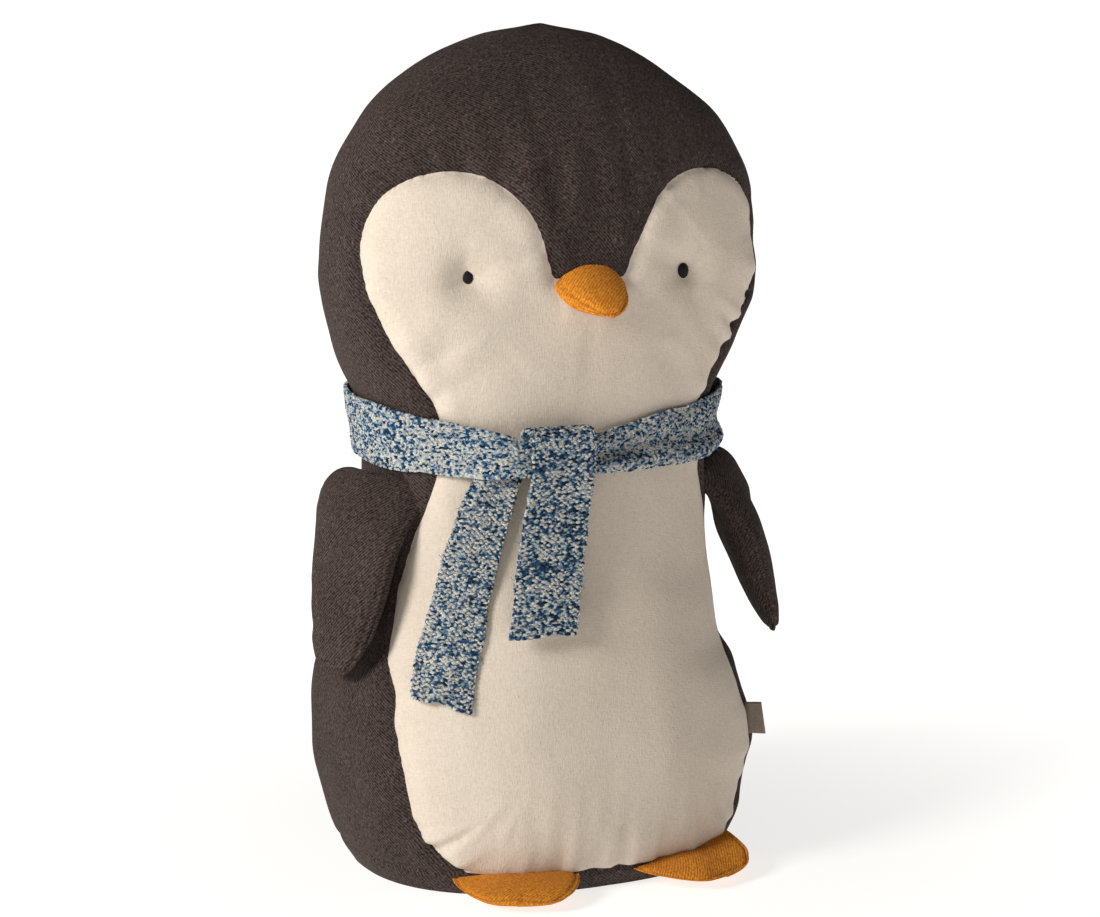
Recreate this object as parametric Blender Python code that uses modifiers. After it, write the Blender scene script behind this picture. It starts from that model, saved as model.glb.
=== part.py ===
"""Plush penguin: a stuffed standing penguin with wings, feet, beak, eyes, scarf and side label.

Metres, +Z up. The origin is on the floor, at the middle of the base. The penguin faces -Y,
and +X is its own left side, which is a viewer's right.
"""
import math

import bmesh
import bpy
from mathutils import Matrix, Vector

# ---------------------------------------------------------------- driving dimensions
HEIGHT = 0.440
CLOTH = 0.0012            # thickness of the sewn cloth
GAP = 0.0003              # clearance kept between neighbouring pieces
SEAM_GAP = 0.0004         # clearance between two panels that are sewn edge to edge
CLEAR = 0.2               # how far cutters run past the object

# Body sections: height, half width, depth in front and behind the axis, and sideways sway.
BODY_SECTIONS = (
    (0.000, 0.0930, 0.070, 0.068, -0.0005),
    (0.010, 0.1040, 0.086, 0.084, -0.0005),
    (0.030, 0.1105, 0.094, 0.096, -0.0006),
    (0.065, 0.1170, 0.095, 0.102, -0.0012),
    (0.100, 0.1121, 0.091, 0.101, -0.0044),
    (0.120, 0.1010, 0.087, 0.099, -0.0040),
    (0.138, 0.0970, 0.082, 0.095, -0.0035),
    (0.160, 0.0932, 0.075, 0.090, -0.0026),
    (0.205, 0.0910, 0.065, 0.080, -0.0012),
    (0.240, 0.0955, 0.057, 0.072, -0.0006),
    (0.275, 0.1105, 0.057, 0.071, 0.0010),
    (0.315, 0.1199, 0.058, 0.072, 0.0025),
    (0.355, 0.1169, 0.056, 0.066, 0.0027),
    (0.390, 0.1001, 0.047, 0.055, 0.0018),
    (0.418, 0.0690, 0.031, 0.041, 0.0000),
    (0.434, 0.0320, 0.017, 0.023, -0.0005),
    (0.440, 0.0000, 0.000, 0.000, -0.0005),
)
BODY_POWER = 2.35         # superellipse exponent of every body section
BODY_SIDES = 40
BODY_RINGS = 25
BASE_SEAM_HEIGHT = 0.012

# Half of the cream panel's outline seen from the front, from the bottom up, as distance from
# the body's swaying axis and height.
FACE_OUTLINE = (
    (0.0000, 0.0040), (0.0550, 0.0060), (0.0780, 0.0165), (0.0904, 0.0280), (0.0977, 0.0460),
    (0.1010, 0.0780), (0.0976, 0.1080), (0.0918, 0.1420), (0.0848, 0.1780), (0.0766, 0.2070),
    (0.0730, 0.2280), (0.0757, 0.2470), (0.0893, 0.2670), (0.1038, 0.2910), (0.1125, 0.3160),
    (0.1127, 0.3370), (0.1047, 0.3540), (0.0896, 0.3642), (0.0700, 0.3675), (0.0520, 0.3625),
    (0.0375, 0.3500), (0.0285, 0.3350), (0.0230, 0.3200), (0.0205, 0.3125),
)
SIDE_SEAM_TOP = 0.015     # the side seam's place, +Y at the crown and at the floor
SIDE_SEAM_FOOT = 0.052

EYE_PLACE = (0.0608, 0.3137)
EYE_SIZE = (0.0022, 0.0018, 0.0032)
EYE_STANDOFF = 8 * GAP
EYE_DIMPLE_DEPTH = 0.008
EYE_DIMPLE_FLOOR = 0.003         # radius of the dimple's flat floor
EYE_DIMPLE_RADIUS = 0.010
EYE_THREAD_RADIUS = 0.0006
EYE_THREAD_DEPTH = 0.0045       # behind the dimple's face

PELLET_BAG_SIZE = (0.068, 0.050, 0.030)
PELLET_BAG_WALL = 0.0012
PELLET_BAG_TAPER = 0.08

WING_LENGTH = 0.106
WING_WIDTH = 0.076
WING_THICKNESS = 0.021
WING_ROOT = (0.0975, -0.012, 0.2125)
WING_YAW = math.radians(19)          # how far the wing's flat side turns to the front
WING_LIFT = {"right": math.radians(14), "left": math.radians(20)}

FOOT_LENGTH = 0.042
FOOT_WIDTH = 0.068
FOOT_THICKNESS = 0.0095
FOOT_ROOT = (0.043, -0.070, 0.0105)
FOOT_TILT = math.radians(6)
FOOT_SPLAY = math.radians(24)
FOOT_CLEARANCE = 0.0020       # room for the foot to bend at its seam

BEAK_LENGTH = 0.035
BEAK_WIDTH = 0.042
BEAK_THICKNESS = 0.019
BEAK_ROOT = (0.0025, -0.050, 0.3125)
BEAK_DROOP = math.radians(33)

KNIT = 0.0030                        # thickness of the knitted scarf
SCARF_NECK_GAP = 0.0018
SCARF_LOW_EDGE = (0.2145, 0.2195)    # the band's lower edge, at the front and at the back
SCARF_HIGH_EDGE = (0.2330, 0.2570)
SCARF_RISE_POWER = 0.42              # how soon the upper edge rises away from the knot
SCARF_SIDES = 48
KNOT_X = -0.0200
KNOT_TURN = math.radians(9)          # the same place as an angle round the neck
BAND_FLAT_SHARE = 0.012              # the part of the band that stays low under the knot
KNOT_WIDTH = 0.0345
KNOT_TOP = 0.2400
KNOT_STANDOFF = 0.0055               # room behind the band for the knot's inner fold
KNOT_SPREAD = 0.036                  # how far the band stays out on each side of the knot
KNOT_INNER_END = 0.2300              # the height at which the fold starts behind the band
KNOT_OUTER_END = 0.2143              # the height at which it ends in front, over the tail
FRONT_TAIL_TOP = (-0.0205, 0.2125)   # x of its middle, and height
FRONT_TAIL_END = (-0.0370, 0.1375)
FRONT_TAIL_WIDTH = 0.0345
FRONT_TAIL_STANDOFF = (0.0098, 0.0070)
SIDE_TAIL_TOP = (-0.0540, 0.2125)
SIDE_TAIL_END = (-0.0870, 0.1035)
SIDE_TAIL_WIDTH = 0.0270
SIDE_TAIL_STANDOFF = (0.0044, 0.0056)

LABEL_SIZE = (0.0075, 0.0012, 0.0170)
LABEL_PLACE = (0.1032, 0.0725)      # x and height of its middle, on the belly seam
LABEL_STANDOFF = 2 * GAP

COLOURS = {
    "charcoal_twill": (0.075, 0.062, 0.058, 0.92),
    "cream_cotton": (0.76, 0.69, 0.58, 0.90),
    "ochre_twill": (0.50, 0.24, 0.055, 0.90),
    "marl_knit": (0.30, 0.38, 0.46, 0.95),
    "eye_black": (0.010, 0.010, 0.012, 0.35),
    "label_tape": (0.36, 0.29, 0.23, 0.85),
    "white_fibre": (0.85, 0.85, 0.83, 0.95),
    "calico": (0.70, 0.66, 0.58, 0.90),
    "pellets": (0.80, 0.80, 0.78, 0.50),
}


# ---------------------------------------------------------------- scene helpers
def clear_scene():
    for old in list(bpy.data.objects):
        bpy.data.objects.remove(old, do_unlink=True)


def make_collection(name):
    collection = bpy.data.collections.new(name)
    bpy.context.scene.collection.children.link(collection)
    return collection


def make_material(slot):
    material = bpy.data.materials.new(slot)
    material.use_nodes = True
    shader = material.node_tree.nodes["Principled BSDF"]
    red, green, blue, roughness = COLOURS[slot]
    shader.inputs["Base Color"].default_value = (red, green, blue, 1.0)
    shader.inputs["Roughness"].default_value = roughness
    shader.inputs["Metallic"].default_value = 0.0
    return material


def finish_part(part, slot, pivot=(0, 0, 0)):
    """Give a part its material, shading and origin, and move it to the part collection.

    The pivot is a point on the axis the part moves about, and becomes the part's origin.
    """
    part.data.transform(Matrix.Translation(-Vector(pivot)))
    part.location = pivot
    part.data.materials.clear()
    material = make_material(slot)
    material.name = part.name + "_" + slot
    part.data.materials.append(material)
    part.data.shade_smooth()
    part.data.set_sharp_from_angle(angle=math.radians(40))
    for owner in list(part.users_collection):
        owner.objects.unlink(part)
    PARTS.objects.link(part)
    part.hide_render = False
    part.display_type = "TEXTURED"
    return part


def object_from_bmesh(name, mesh_builder, collection=None):
    mesh = bpy.data.meshes.new(name)
    mesh_builder.normal_update()
    mesh_builder.to_mesh(mesh)
    mesh_builder.free()
    made = bpy.data.objects.new(name, mesh)
    (collection or CUTTERS).objects.link(made)
    if made.name in CUTTERS.objects:
        made.hide_render = True
        made.display_type = "WIRE"
    return made


def cut(target, cutter, operation="DIFFERENCE"):
    """Apply one exact Boolean to the target's mesh."""
    modifier = target.modifiers.new(operation.lower(), "BOOLEAN")
    modifier.operation = operation
    modifier.solver = "EXACT"
    modifier.object = cutter
    graph = bpy.context.evaluated_depsgraph_get()
    graph.update()
    result = bpy.data.meshes.new_from_object(target.evaluated_get(graph))
    target.modifiers.clear()
    old = target.data
    target.data = result
    bpy.data.meshes.remove(old)
    tidy = bmesh.new()
    tidy.from_mesh(result)
    bmesh.ops.remove_doubles(tidy, verts=tidy.verts, dist=0.00002)
    bmesh.ops.dissolve_degenerate(tidy, edges=tidy.edges, dist=0.00002)
    tidy.to_mesh(result)
    tidy.free()
    return target


def copy_of(source, name):
    made = source.copy()
    made.data = source.data.copy()
    made.name = name
    CUTTERS.objects.link(made)
    made.hide_render = True
    made.display_type = "WIRE"
    return made


# ---------------------------------------------------------------- shape formulas
def smooth_value(table, column, at):
    """A smooth curve through one column of a table, read at a given first-column value."""
    last = len(table) - 1
    at = min(max(at, table[0][0]), table[last][0])
    row = 0
    while row < last - 1 and at > table[row + 1][0]:
        row += 1

    def slope(index):
        if index == 0 or index == last:
            near, far = (0, 1) if index == 0 else (last - 1, last)
            return (table[far][column] - table[near][column]) / (table[far][0] - table[near][0])
        before = (table[index][column] - table[index - 1][column]) / (table[index][0] - table[index - 1][0])
        after = (table[index + 1][column] - table[index][column]) / (table[index + 1][0] - table[index][0])
        if before * after <= 0:
            return 0.0
        return 2 * before * after / (before + after)

    span = table[row + 1][0] - table[row][0]
    step = (at - table[row][0]) / span
    start, end = table[row][column], table[row + 1][column]
    cube, square = step ** 3, step ** 2
    return (
        start * (2 * cube - 3 * square + 1)
        + end * (3 * square - 2 * cube)
        + span * slope(row) * (cube - 2 * square + step)
        + span * slope(row + 1) * (cube - square)
    )


def signed_power(value, power):
    return math.copysign(abs(value) ** power, value)


def eye_dimple(x, z):
    """How far the thread pulls the face in at a point seen from the front."""
    away = max(math.hypot(abs(x) - EYE_PLACE[0], z - EYE_PLACE[1]) - EYE_DIMPLE_FLOOR, 0)
    return EYE_DIMPLE_DEPTH * math.exp(-0.5 * (away / EYE_DIMPLE_RADIUS) ** 2)


def body_sway(height):
    """How far the body's axis leans to the side at a height."""
    return smooth_value(BODY_SECTIONS, 4, height)


def body_point(angle, height):
    """A point of the body's skin. Angle 0 is +X and -90 degrees is the front."""
    width = smooth_value(BODY_SECTIONS, 1, height)
    column = 2 if math.sin(angle) < 0 else 3
    depth = smooth_value(BODY_SECTIONS, column, height)
    x = body_sway(height) + width * signed_power(math.cos(angle), 2 / BODY_POWER)
    y = depth * signed_power(math.sin(angle), 2 / BODY_POWER)
    if y < 0:
        y += eye_dimple(x, height)
    return Vector((x, y, height))


def body_front(x, height):
    """The skin's y at the front, at a given x and height."""
    width = smooth_value(BODY_SECTIONS, 1, height)
    depth = smooth_value(BODY_SECTIONS, 2, height)
    share = min(abs(x - body_sway(height)) / width, 0.999)
    return -depth * (1 - share ** BODY_POWER) ** (1 / BODY_POWER)


# ---------------------------------------------------------------- body
def body_form(name, offset):
    """The whole body as one closed form, moved in or out along its normals by offset."""
    form = bmesh.new()
    bmesh.ops.create_uvsphere(form, u_segments=BODY_SIDES, v_segments=BODY_RINGS, radius=1)
    for vert in form.verts:
        ring = round((1 - math.acos(max(-1, min(1, vert.co.z))) / math.pi) * BODY_RINGS)
        height = HEIGHT * math.sin(math.pi * ring / (2 * BODY_RINGS)) ** 2
        if ring <= 1:
            height = 0.0
        if ring in (0, BODY_RINGS):
            vert.co = (body_sway(height), 0, height)
        else:
            vert.co = body_point(math.atan2(vert.co.y, vert.co.x), height)
    bmesh.ops.triangulate(form, faces=form.faces, quad_method="FIXED")
    form.normal_update()
    normals = {vert: vert.normal.copy() for vert in form.verts}
    for vert in form.verts:
        vert.co += normals[vert] * offset
        vert.co.z = max(vert.co.z, -offset)
    return object_from_bmesh(name, form)


def outline_block(name, points, corners, depth, widen=0.0):
    """A flat outline in the XZ plane, smooth except at its corners, given depth along -Y."""
    curve = bpy.data.curves.new(name, "CURVE")
    curve.dimensions = "2D"
    curve.fill_mode = "BOTH"
    curve.extrude = depth / 2
    curve.offset = widen
    curve.resolution_u = 1
    spline = curve.splines.new("BEZIER")
    spline.use_cyclic_u = True
    spline.bezier_points.add(len(points) - 1)
    for knot, (x, z) in zip(spline.bezier_points, points):
        knot.co = (x, z, 0)
        sharp = (x, z) in corners
        knot.handle_left_type = "VECTOR" if sharp else "AUTO"
        knot.handle_right_type = "VECTOR" if sharp else "AUTO"
    drawn = bpy.data.objects.new(name + "_curve", curve)
    CUTTERS.objects.link(drawn)
    graph = bpy.context.evaluated_depsgraph_get()
    graph.update()
    mesh = bpy.data.meshes.new_from_object(drawn.evaluated_get(graph))
    solid = bmesh.new()
    solid.from_mesh(mesh)
    bmesh.ops.remove_doubles(solid, verts=solid.verts, dist=0.00001)
    upright = Matrix.Rotation(math.pi / 2, 4, "X")
    bmesh.ops.transform(solid, matrix=Matrix.Translation((0, -depth / 2, 0)) @ upright, verts=solid.verts)
    bmesh.ops.recalc_face_normals(solid, faces=solid.faces)
    bpy.data.objects.remove(drawn, do_unlink=True)
    bpy.data.meshes.remove(mesh)
    return object_from_bmesh(name, solid)


def box_block(name, low, high):
    block = bmesh.new()
    bmesh.ops.create_cube(block, size=1)
    size = Vector(high) - Vector(low)
    middle = (Vector(high) + Vector(low)) / 2
    bmesh.ops.scale(block, vec=size, verts=block.verts)
    bmesh.ops.translate(block, vec=middle, verts=block.verts)
    return object_from_bmesh(name, block)


def back_block(name, shift):
    """Everything behind the side seam, whose plane leans forward towards the crown."""
    block = bmesh.new()
    bmesh.ops.create_cube(block, size=1)
    lean = (SIDE_SEAM_TOP - SIDE_SEAM_FOOT) / HEIGHT
    for vert in block.verts:
        top = vert.co.z > 0
        front = vert.co.y < 0
        height = HEIGHT + CLEAR if top else -CLEAR
        y = SIDE_SEAM_FOOT + lean * height + shift if front else 2 * CLEAR
        vert.co = (math.copysign(2 * CLEAR, vert.co.x), y, height)
    return object_from_bmesh(name, block)


def body_panels():
    """The sewn skin: one thin shell, cut along the seams into its cloth panels."""
    outer = body_form("skin_outer", 0.0)
    inner = body_form("skin_inner", -CLOTH)
    shell = cut(outer, inner)
    left = [(body_sway(z) + x, z) for x, z in FACE_OUTLINE]
    right = [(body_sway(z) - x, z) for x, z in reversed(FACE_OUTLINE) if x > 0]
    outline = left + right
    corners = (left[-1], right[0])
    face_block = outline_block("face_block", outline, corners, CLEAR)
    face_hole = outline_block("face_hole", outline, corners, CLEAR, widen=SEAM_GAP)
    over_base = box_block(
        "over_base", (-CLEAR, -CLEAR, BASE_SEAM_HEIGHT + SEAM_GAP), (CLEAR, CLEAR, HEIGHT + CLEAR)
    )
    under_seam = box_block("under_seam", (-CLEAR, -CLEAR, -CLEAR), (CLEAR, CLEAR, BASE_SEAM_HEIGHT))

    face = cut(copy_of(shell, "face_belly_panel"), face_block, "INTERSECT")
    face = cut(face, over_base, "INTERSECT")

    base = cut(copy_of(shell, "base_panel"), under_seam, "INTERSECT")

    front = cut(copy_of(shell, "forehead_side_panel"), over_base, "INTERSECT")
    front = cut(front, face_hole)
    front = cut(front, back_block("back_cut", 0.0))

    back = cut(copy_of(shell, "back_shell"), over_base, "INTERSECT")
    back = cut(back, back_block("back_keep", SEAM_GAP), "INTERSECT")
    halves = []
    for name, side in (("back_panel_left", 1), ("back_panel_right", -1)):
        low = (SEAM_GAP / 2, -CLEAR, -CLEAR) if side > 0 else (-CLEAR, -CLEAR, -CLEAR)
        high = (CLEAR, CLEAR, HEIGHT + CLEAR) if side > 0 else (-SEAM_GAP / 2, CLEAR, HEIGHT + CLEAR)
        keep = box_block(name + "_keep", low, high)
        halves.append(cut(copy_of(back, name), keep, "INTERSECT"))
    finish_part(face, "cream_cotton")
    finish_part(base, "charcoal_twill")
    finish_part(front, "charcoal_twill")
    for panel in halves:
        finish_part(panel, "charcoal_twill")


def rod(name, start, end, radius, sides=10):
    start, end = Vector(start), Vector(end)
    shaft = bmesh.new()
    length = (end - start).length
    bmesh.ops.create_cone(
        shaft, cap_ends=True, segments=sides, radius1=radius, radius2=radius, depth=length
    )
    turn = (end - start).to_track_quat("Z", "Y").to_matrix().to_4x4()
    bmesh.ops.transform(shaft, matrix=Matrix.Translation((start + end) / 2) @ turn, verts=shaft.verts)
    return object_from_bmesh(name, shaft)


def bag_form(name, inset, top_inset=0.0, below=0.0):
    """The weight bag's form, a tapered pouch that stands on the base panel."""
    form = bmesh.new()
    bmesh.ops.create_cone(form, cap_ends=True, segments=32, radius1=1, radius2=1, depth=1)
    half_x, half_y, tall = PELLET_BAG_SIZE
    floor = CLOTH + 2 * GAP
    for vert in form.verts:
        rise = tall - top_inset if vert.co.z > 0 else inset - below
        taper = 1 - PELLET_BAG_TAPER * rise / tall
        vert.co = (vert.co.x * (half_x * taper - inset), vert.co.y * (half_y * taper - inset), floor + rise)
    return object_from_bmesh(name, form)


def body_inside():
    """The fibre filling, the weight bag in its pocket, and the thread between the eyes."""
    filling = body_form("body_fill", -(CLOTH + 2 * GAP))
    cut(filling, bag_form("pocket", -2 * GAP, top_inset=-2 * GAP, below=0.01))
    eye_y = body_front(EYE_PLACE[0], EYE_PLACE[1]) + EYE_DIMPLE_DEPTH
    thread_y = eye_y + EYE_THREAD_DEPTH
    reach, height = EYE_PLACE
    thread = rod(
        "eye_pull_thread", (-reach, thread_y, height), (reach, thread_y, height), EYE_THREAD_RADIUS
    )
    tunnel = rod(
        "thread_tunnel", (-CLEAR, thread_y, height), (CLEAR, thread_y, height), EYE_THREAD_RADIUS + 2 * GAP
    )
    cut(filling, tunnel)
    bag = bag_form("pellet_bag", 0.0)
    cut(bag, bag_form("bag_hollow", PELLET_BAG_WALL, top_inset=-0.01))
    pellets = bag_form("pellet_fill", PELLET_BAG_WALL + GAP)
    finish_part(filling, "white_fibre")
    finish_part(thread, "eye_black")
    finish_part(bag, "calico")
    finish_part(pellets, "pellets")


def eye(name, side):
    bead = bmesh.new()
    bmesh.ops.create_uvsphere(bead, u_segments=10, v_segments=6, radius=1)
    bmesh.ops.scale(bead, vec=EYE_SIZE, verts=bead.verts)
    skin_y = body_front(EYE_PLACE[0], EYE_PLACE[1]) + EYE_DIMPLE_DEPTH
    place = Vector((side * EYE_PLACE[0], skin_y - EYE_SIZE[1] - EYE_STANDOFF, EYE_PLACE[1]))
    bmesh.ops.translate(bead, vec=place, verts=bead.verts)
    finish_part(object_from_bmesh(name, bead), "eye_black")


# ---------------------------------------------------------------- stuffed limbs
def pillow_form(name, length, width_at, thickness_at, place, inset, sides=14, rings=10):
    """A stuffed flat form that runs from its root along local -Z, with its width along X."""
    form = bmesh.new()
    bmesh.ops.create_uvsphere(form, u_segments=sides, v_segments=rings, radius=1)
    for vert in form.verts:
        along = (1 - vert.co.z) / 2
        angle = math.atan2(vert.co.y, vert.co.x)
        at_pole = along < 1e-6 or along > 1 - 1e-6
        half_width = 0 if at_pole else max(width_at(along) / 2 - inset, 0.0004)
        half_thickness = 0 if at_pole else max(thickness_at(along) / 2 - inset, 0.0003)
        vert.co.x = half_width * math.cos(angle)
        vert.co.y = half_thickness * math.sin(angle)
        vert.co.z = -(inset + along * (length - 2 * inset))
    bmesh.ops.triangulate(form, faces=form.faces, quad_method="FIXED")
    bmesh.ops.transform(form, matrix=place, verts=form.verts)
    return object_from_bmesh(name, form)


def stuffed_limb(names, slot, length, width_at, thickness_at, place, keep_clear, pivot=(0, 0, 0)):
    """Two cloth panels sewn at their edge around a filling. names: front side, back side, fill."""
    outer = pillow_form("limb_outer", length, width_at, thickness_at, place, 0.0)
    inner = pillow_form("limb_inner", length, width_at, thickness_at, place, CLOTH)
    filling = pillow_form(names[2], length, width_at, thickness_at, place, CLOTH + 2 * GAP)
    shell = cut(outer, inner)
    cut(shell, keep_clear)
    cut(filling, keep_clear)
    for name, side in ((names[0], -1), (names[1], 1)):
        low = (-CLEAR, SEAM_GAP / 2, -CLEAR) if side > 0 else (-CLEAR, -CLEAR, -CLEAR)
        high = (CLEAR, CLEAR, CLEAR) if side > 0 else (CLEAR, -SEAM_GAP / 2, CLEAR)
        keep = box_block(name + "_keep", low, high)
        keep.data.transform(place)
        panel = cut(copy_of(shell, name), keep, "INTERSECT")
        finish_part(panel, slot, pivot)
    finish_part(filling, "white_fibre", pivot)


def blunt(along, start, power):
    """A share of full width that starts blunt at the root and rounds off at the far end."""
    return math.sin(math.pi * (start + (1 - start) * along)) ** power


def wing_width(along):
    return WING_WIDTH * (1 - 0.25 * along) * blunt(along, 0.42, 0.3)


def wing_thickness(along):
    return WING_THICKNESS * blunt(along, 0.04, 0.7)


def foot_width(along):
    return FOOT_WIDTH * blunt(along, 0.35, 0.35)


def foot_thickness(along):
    return FOOT_THICKNESS * blunt(along, 0.15, 0.5)


def beak_width(along):
    return BEAK_WIDTH * blunt(along, 0.30, 0.6)


def beak_thickness(along):
    return BEAK_THICKNESS * blunt(along, 0.40, 0.9)


def wing_place(side, lift):
    """Root at the shoulder, flat side against the body, lifted outwards by an angle."""
    x, y, z = WING_ROOT
    turn = Matrix.Rotation(side * (math.pi / 2 - WING_YAW), 4, "Z")
    raise_up = Matrix.Rotation(-lift, 4, "X")
    return Matrix.Translation((side * x, y, z)) @ turn @ raise_up


def wings(clear_form):
    for word, side in (("left", 1), ("right", -1)):
        names = [f"wing_{word}_outer_panel", f"wing_{word}_inner_panel", f"wing_{word}_fill"]
        place = wing_place(side, WING_LIFT[word])
        stuffed_limb(
            names, "charcoal_twill", WING_LENGTH, wing_width, wing_thickness, place, clear_form,
            pivot=place.translation,
        )


def feet(clear_form):
    for word, side in (("left", 1), ("right", -1)):
        names = [f"foot_{word}_upper", f"foot_{word}_sole", f"foot_{word}_fill"]
        x, y, z = FOOT_ROOT
        turn = Matrix.Rotation(side * FOOT_SPLAY, 4, "Z")
        flat = Matrix.Rotation(-math.pi / 2 + FOOT_TILT, 4, "X")
        place = Matrix.Translation((side * x, y, z)) @ turn @ flat
        seam = (side * x, body_front(x, z) - FOOT_CLEARANCE, z)
        stuffed_limb(
            names, "ochre_twill", FOOT_LENGTH, foot_width, foot_thickness, place, clear_form,
            pivot=seam,
        )


def beak(clear_form):
    names = ["beak_upper_panel", "beak_lower_panel", "beak_fill"]
    flat = Matrix.Rotation(-math.pi / 2 + BEAK_DROOP, 4, "X")
    place = Matrix.Translation(BEAK_ROOT) @ flat
    stuffed_limb(names, "ochre_twill", BEAK_LENGTH, beak_width, beak_thickness, place, clear_form)


# ---------------------------------------------------------------- scarf
def knit_sheet(name, columns, rows, point_at, wrap=False, pivot=(0, 0, 0)):
    """A knitted sheet: a grid whose points are placed by a formula, with the knit's thickness."""
    sheet = bmesh.new()
    bmesh.ops.create_grid(sheet, x_segments=columns, y_segments=rows, size=1)
    for vert in sheet.verts:
        across = (vert.co.x + 1) / 2
        along = (vert.co.y + 1) / 2
        vert.co = point_at(across, along)
    if wrap:
        bmesh.ops.remove_doubles(sheet, verts=sheet.verts, dist=0.0001)
    bmesh.ops.recalc_face_normals(sheet, faces=sheet.faces)
    made = object_from_bmesh(name, sheet)
    thicken = made.modifiers.new("knit", "SOLIDIFY")
    thicken.thickness = KNIT
    thicken.offset = 0
    thicken.use_even_offset = False
    finish_part(made, "marl_knit", pivot)


def band_standoff(skin):
    """The band's clearance from the neck. It lies flat and further out where the knot is."""
    if skin.y > 0:
        return SCARF_NECK_GAP
    near_knot = math.exp(-((skin.x - KNOT_X) / KNOT_SPREAD) ** 4)
    curved_away = body_front(skin.x, skin.z) - body_front(KNOT_X, skin.z)
    return SCARF_NECK_GAP + (KNOT_STANDOFF + curved_away) * near_knot


def out_of_body(angle, height, away):
    """A point that stands off the body's skin, level with a skin point."""
    skin = body_point(angle, height)
    width = smooth_value(BODY_SECTIONS, 1, height)
    depth = smooth_value(BODY_SECTIONS, 2 if skin.y < 0 else 3, height)
    slope = BODY_POWER - 1
    outward = Vector((
        signed_power((skin.x - body_sway(height)) / width, slope) / width,
        signed_power(skin.y / depth, slope) / depth,
        0,
    ))
    return skin + outward.normalized() * away


def neck_band_point(across, along):
    angle = 2 * math.pi * across
    behind = (1 + math.sin(angle + KNOT_TURN)) / 2
    behind = max(behind - BAND_FLAT_SHARE, 0) / (1 - BAND_FLAT_SHARE)
    low = SCARF_LOW_EDGE[0] + (SCARF_LOW_EDGE[1] - SCARF_LOW_EDGE[0]) * behind
    rise = behind ** SCARF_RISE_POWER
    high = SCARF_HIGH_EDGE[0] + (SCARF_HIGH_EDGE[1] - SCARF_HIGH_EDGE[0]) * rise
    height = low + (high - low) * along
    widest = max(
        smooth_value(BODY_SECTIONS, 1, low), smooth_value(BODY_SECTIONS, 1, height)
    )
    slack = widest - smooth_value(BODY_SECTIONS, 1, height)
    skin = body_point(angle, height)
    away = band_standoff(skin) + KNIT / 2 + slack
    return out_of_body(angle, height, away)


def knot_point(across, along):
    """The knot's fold: up behind the band, over its upper edge and down in front of it."""
    x = KNOT_X + KNOT_WIDTH * (across - 0.5)
    inner = body_front(KNOT_X, KNOT_INNER_END) - SCARF_NECK_GAP - KNIT / 2
    band_y = body_front(KNOT_X, SCARF_LOW_EDGE[0]) - SCARF_NECK_GAP - KNOT_STANDOFF
    outer = band_y - 1.5 * KNIT - 4 * GAP
    middle = (inner + outer) / 2
    half = (inner - outer) / 2
    bend_height = KNOT_TOP - half - KNIT / 2
    up = bend_height - KNOT_INNER_END
    bend = math.pi * half
    down = bend_height - KNOT_OUTER_END
    distance = along * (up + bend + down)
    if distance < up:
        return Vector((x, inner, KNOT_INNER_END + distance))
    if distance < up + bend:
        turn = math.pi * (distance - up) / bend
        return Vector((x, middle + half * math.cos(turn), bend_height + half * math.sin(turn)))
    return Vector((x, outer, bend_height - (distance - up - bend)))


def tail_point(across, along, top, end, width, standoff, follow, slant):
    """A hanging tail. Follow is how far it bends round the belly, slant how far its end is square."""
    x_mid = top[0] + (end[0] - top[0]) * along
    height = top[1] + (end[1] - top[1]) * along
    run, fall = end[0] - top[0], end[1] - top[1]
    length = math.hypot(run, fall)
    sideways = width * (across - 0.5)
    x = x_mid - sideways * fall / length
    z = height + slant * along * sideways * run / length
    away = standoff[0] + (standoff[1] - standoff[0]) * along
    own = body_front(x, z)
    centre = body_front(x_mid, height)
    return Vector((x, follow * own + (1 - follow) * centre - away - KNIT / 2, z))


def front_tail_point(across, along):
    return tail_point(
        across, along, FRONT_TAIL_TOP, FRONT_TAIL_END, FRONT_TAIL_WIDTH, FRONT_TAIL_STANDOFF, 0.4, 0.0
    )


def side_tail_point(across, along):
    return tail_point(
        across, along, SIDE_TAIL_TOP, SIDE_TAIL_END, SIDE_TAIL_WIDTH, SIDE_TAIL_STANDOFF, 0.6, 1.0
    )


def scarf():
    knit_sheet("scarf_neck_band", SCARF_SIDES, 3, neck_band_point, wrap=True)
    knit_sheet("scarf_knot", 3, 12, knot_point)
    for name, rows, point_at in (
        ("scarf_front_tail", 8, front_tail_point),
        ("scarf_side_tail", 10, side_tail_point),
    ):
        top_edge = point_at(0.5, 0) - Vector((0, KNIT / 2, 0))
        knit_sheet(name, 4, rows, point_at, pivot=top_edge)


# ---------------------------------------------------------------- label
def side_label():
    """A folded tab of woven tape that stands out of the belly seam."""
    reach, thick, tall = LABEL_SIZE
    x, height = LABEL_PLACE
    y = body_front(x, height)
    width = smooth_value(BODY_SECTIONS, 1, height)
    depth = smooth_value(BODY_SECTIONS, 2, height)
    slope = BODY_POWER - 1
    share = (x - body_sway(height)) / width
    outward = Vector((share ** slope / width, -((-y / depth) ** slope) / depth, 0)).normalized()
    tab = bmesh.new()
    bmesh.ops.create_cube(tab, size=1)
    bmesh.ops.scale(tab, vec=(reach, thick, tall), verts=tab.verts)
    bmesh.ops.translate(tab, vec=(reach / 2 + LABEL_STANDOFF, 0, 0), verts=tab.verts)
    turn = Matrix.Rotation(math.atan2(outward.y, outward.x), 4, "Z")
    bmesh.ops.transform(tab, matrix=Matrix.Translation((x, y, height)) @ turn, verts=tab.verts)
    seam = Vector((x, y, height)) + outward * LABEL_STANDOFF
    finish_part(object_from_bmesh("side_label", tab), "label_tape", pivot=seam)


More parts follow.
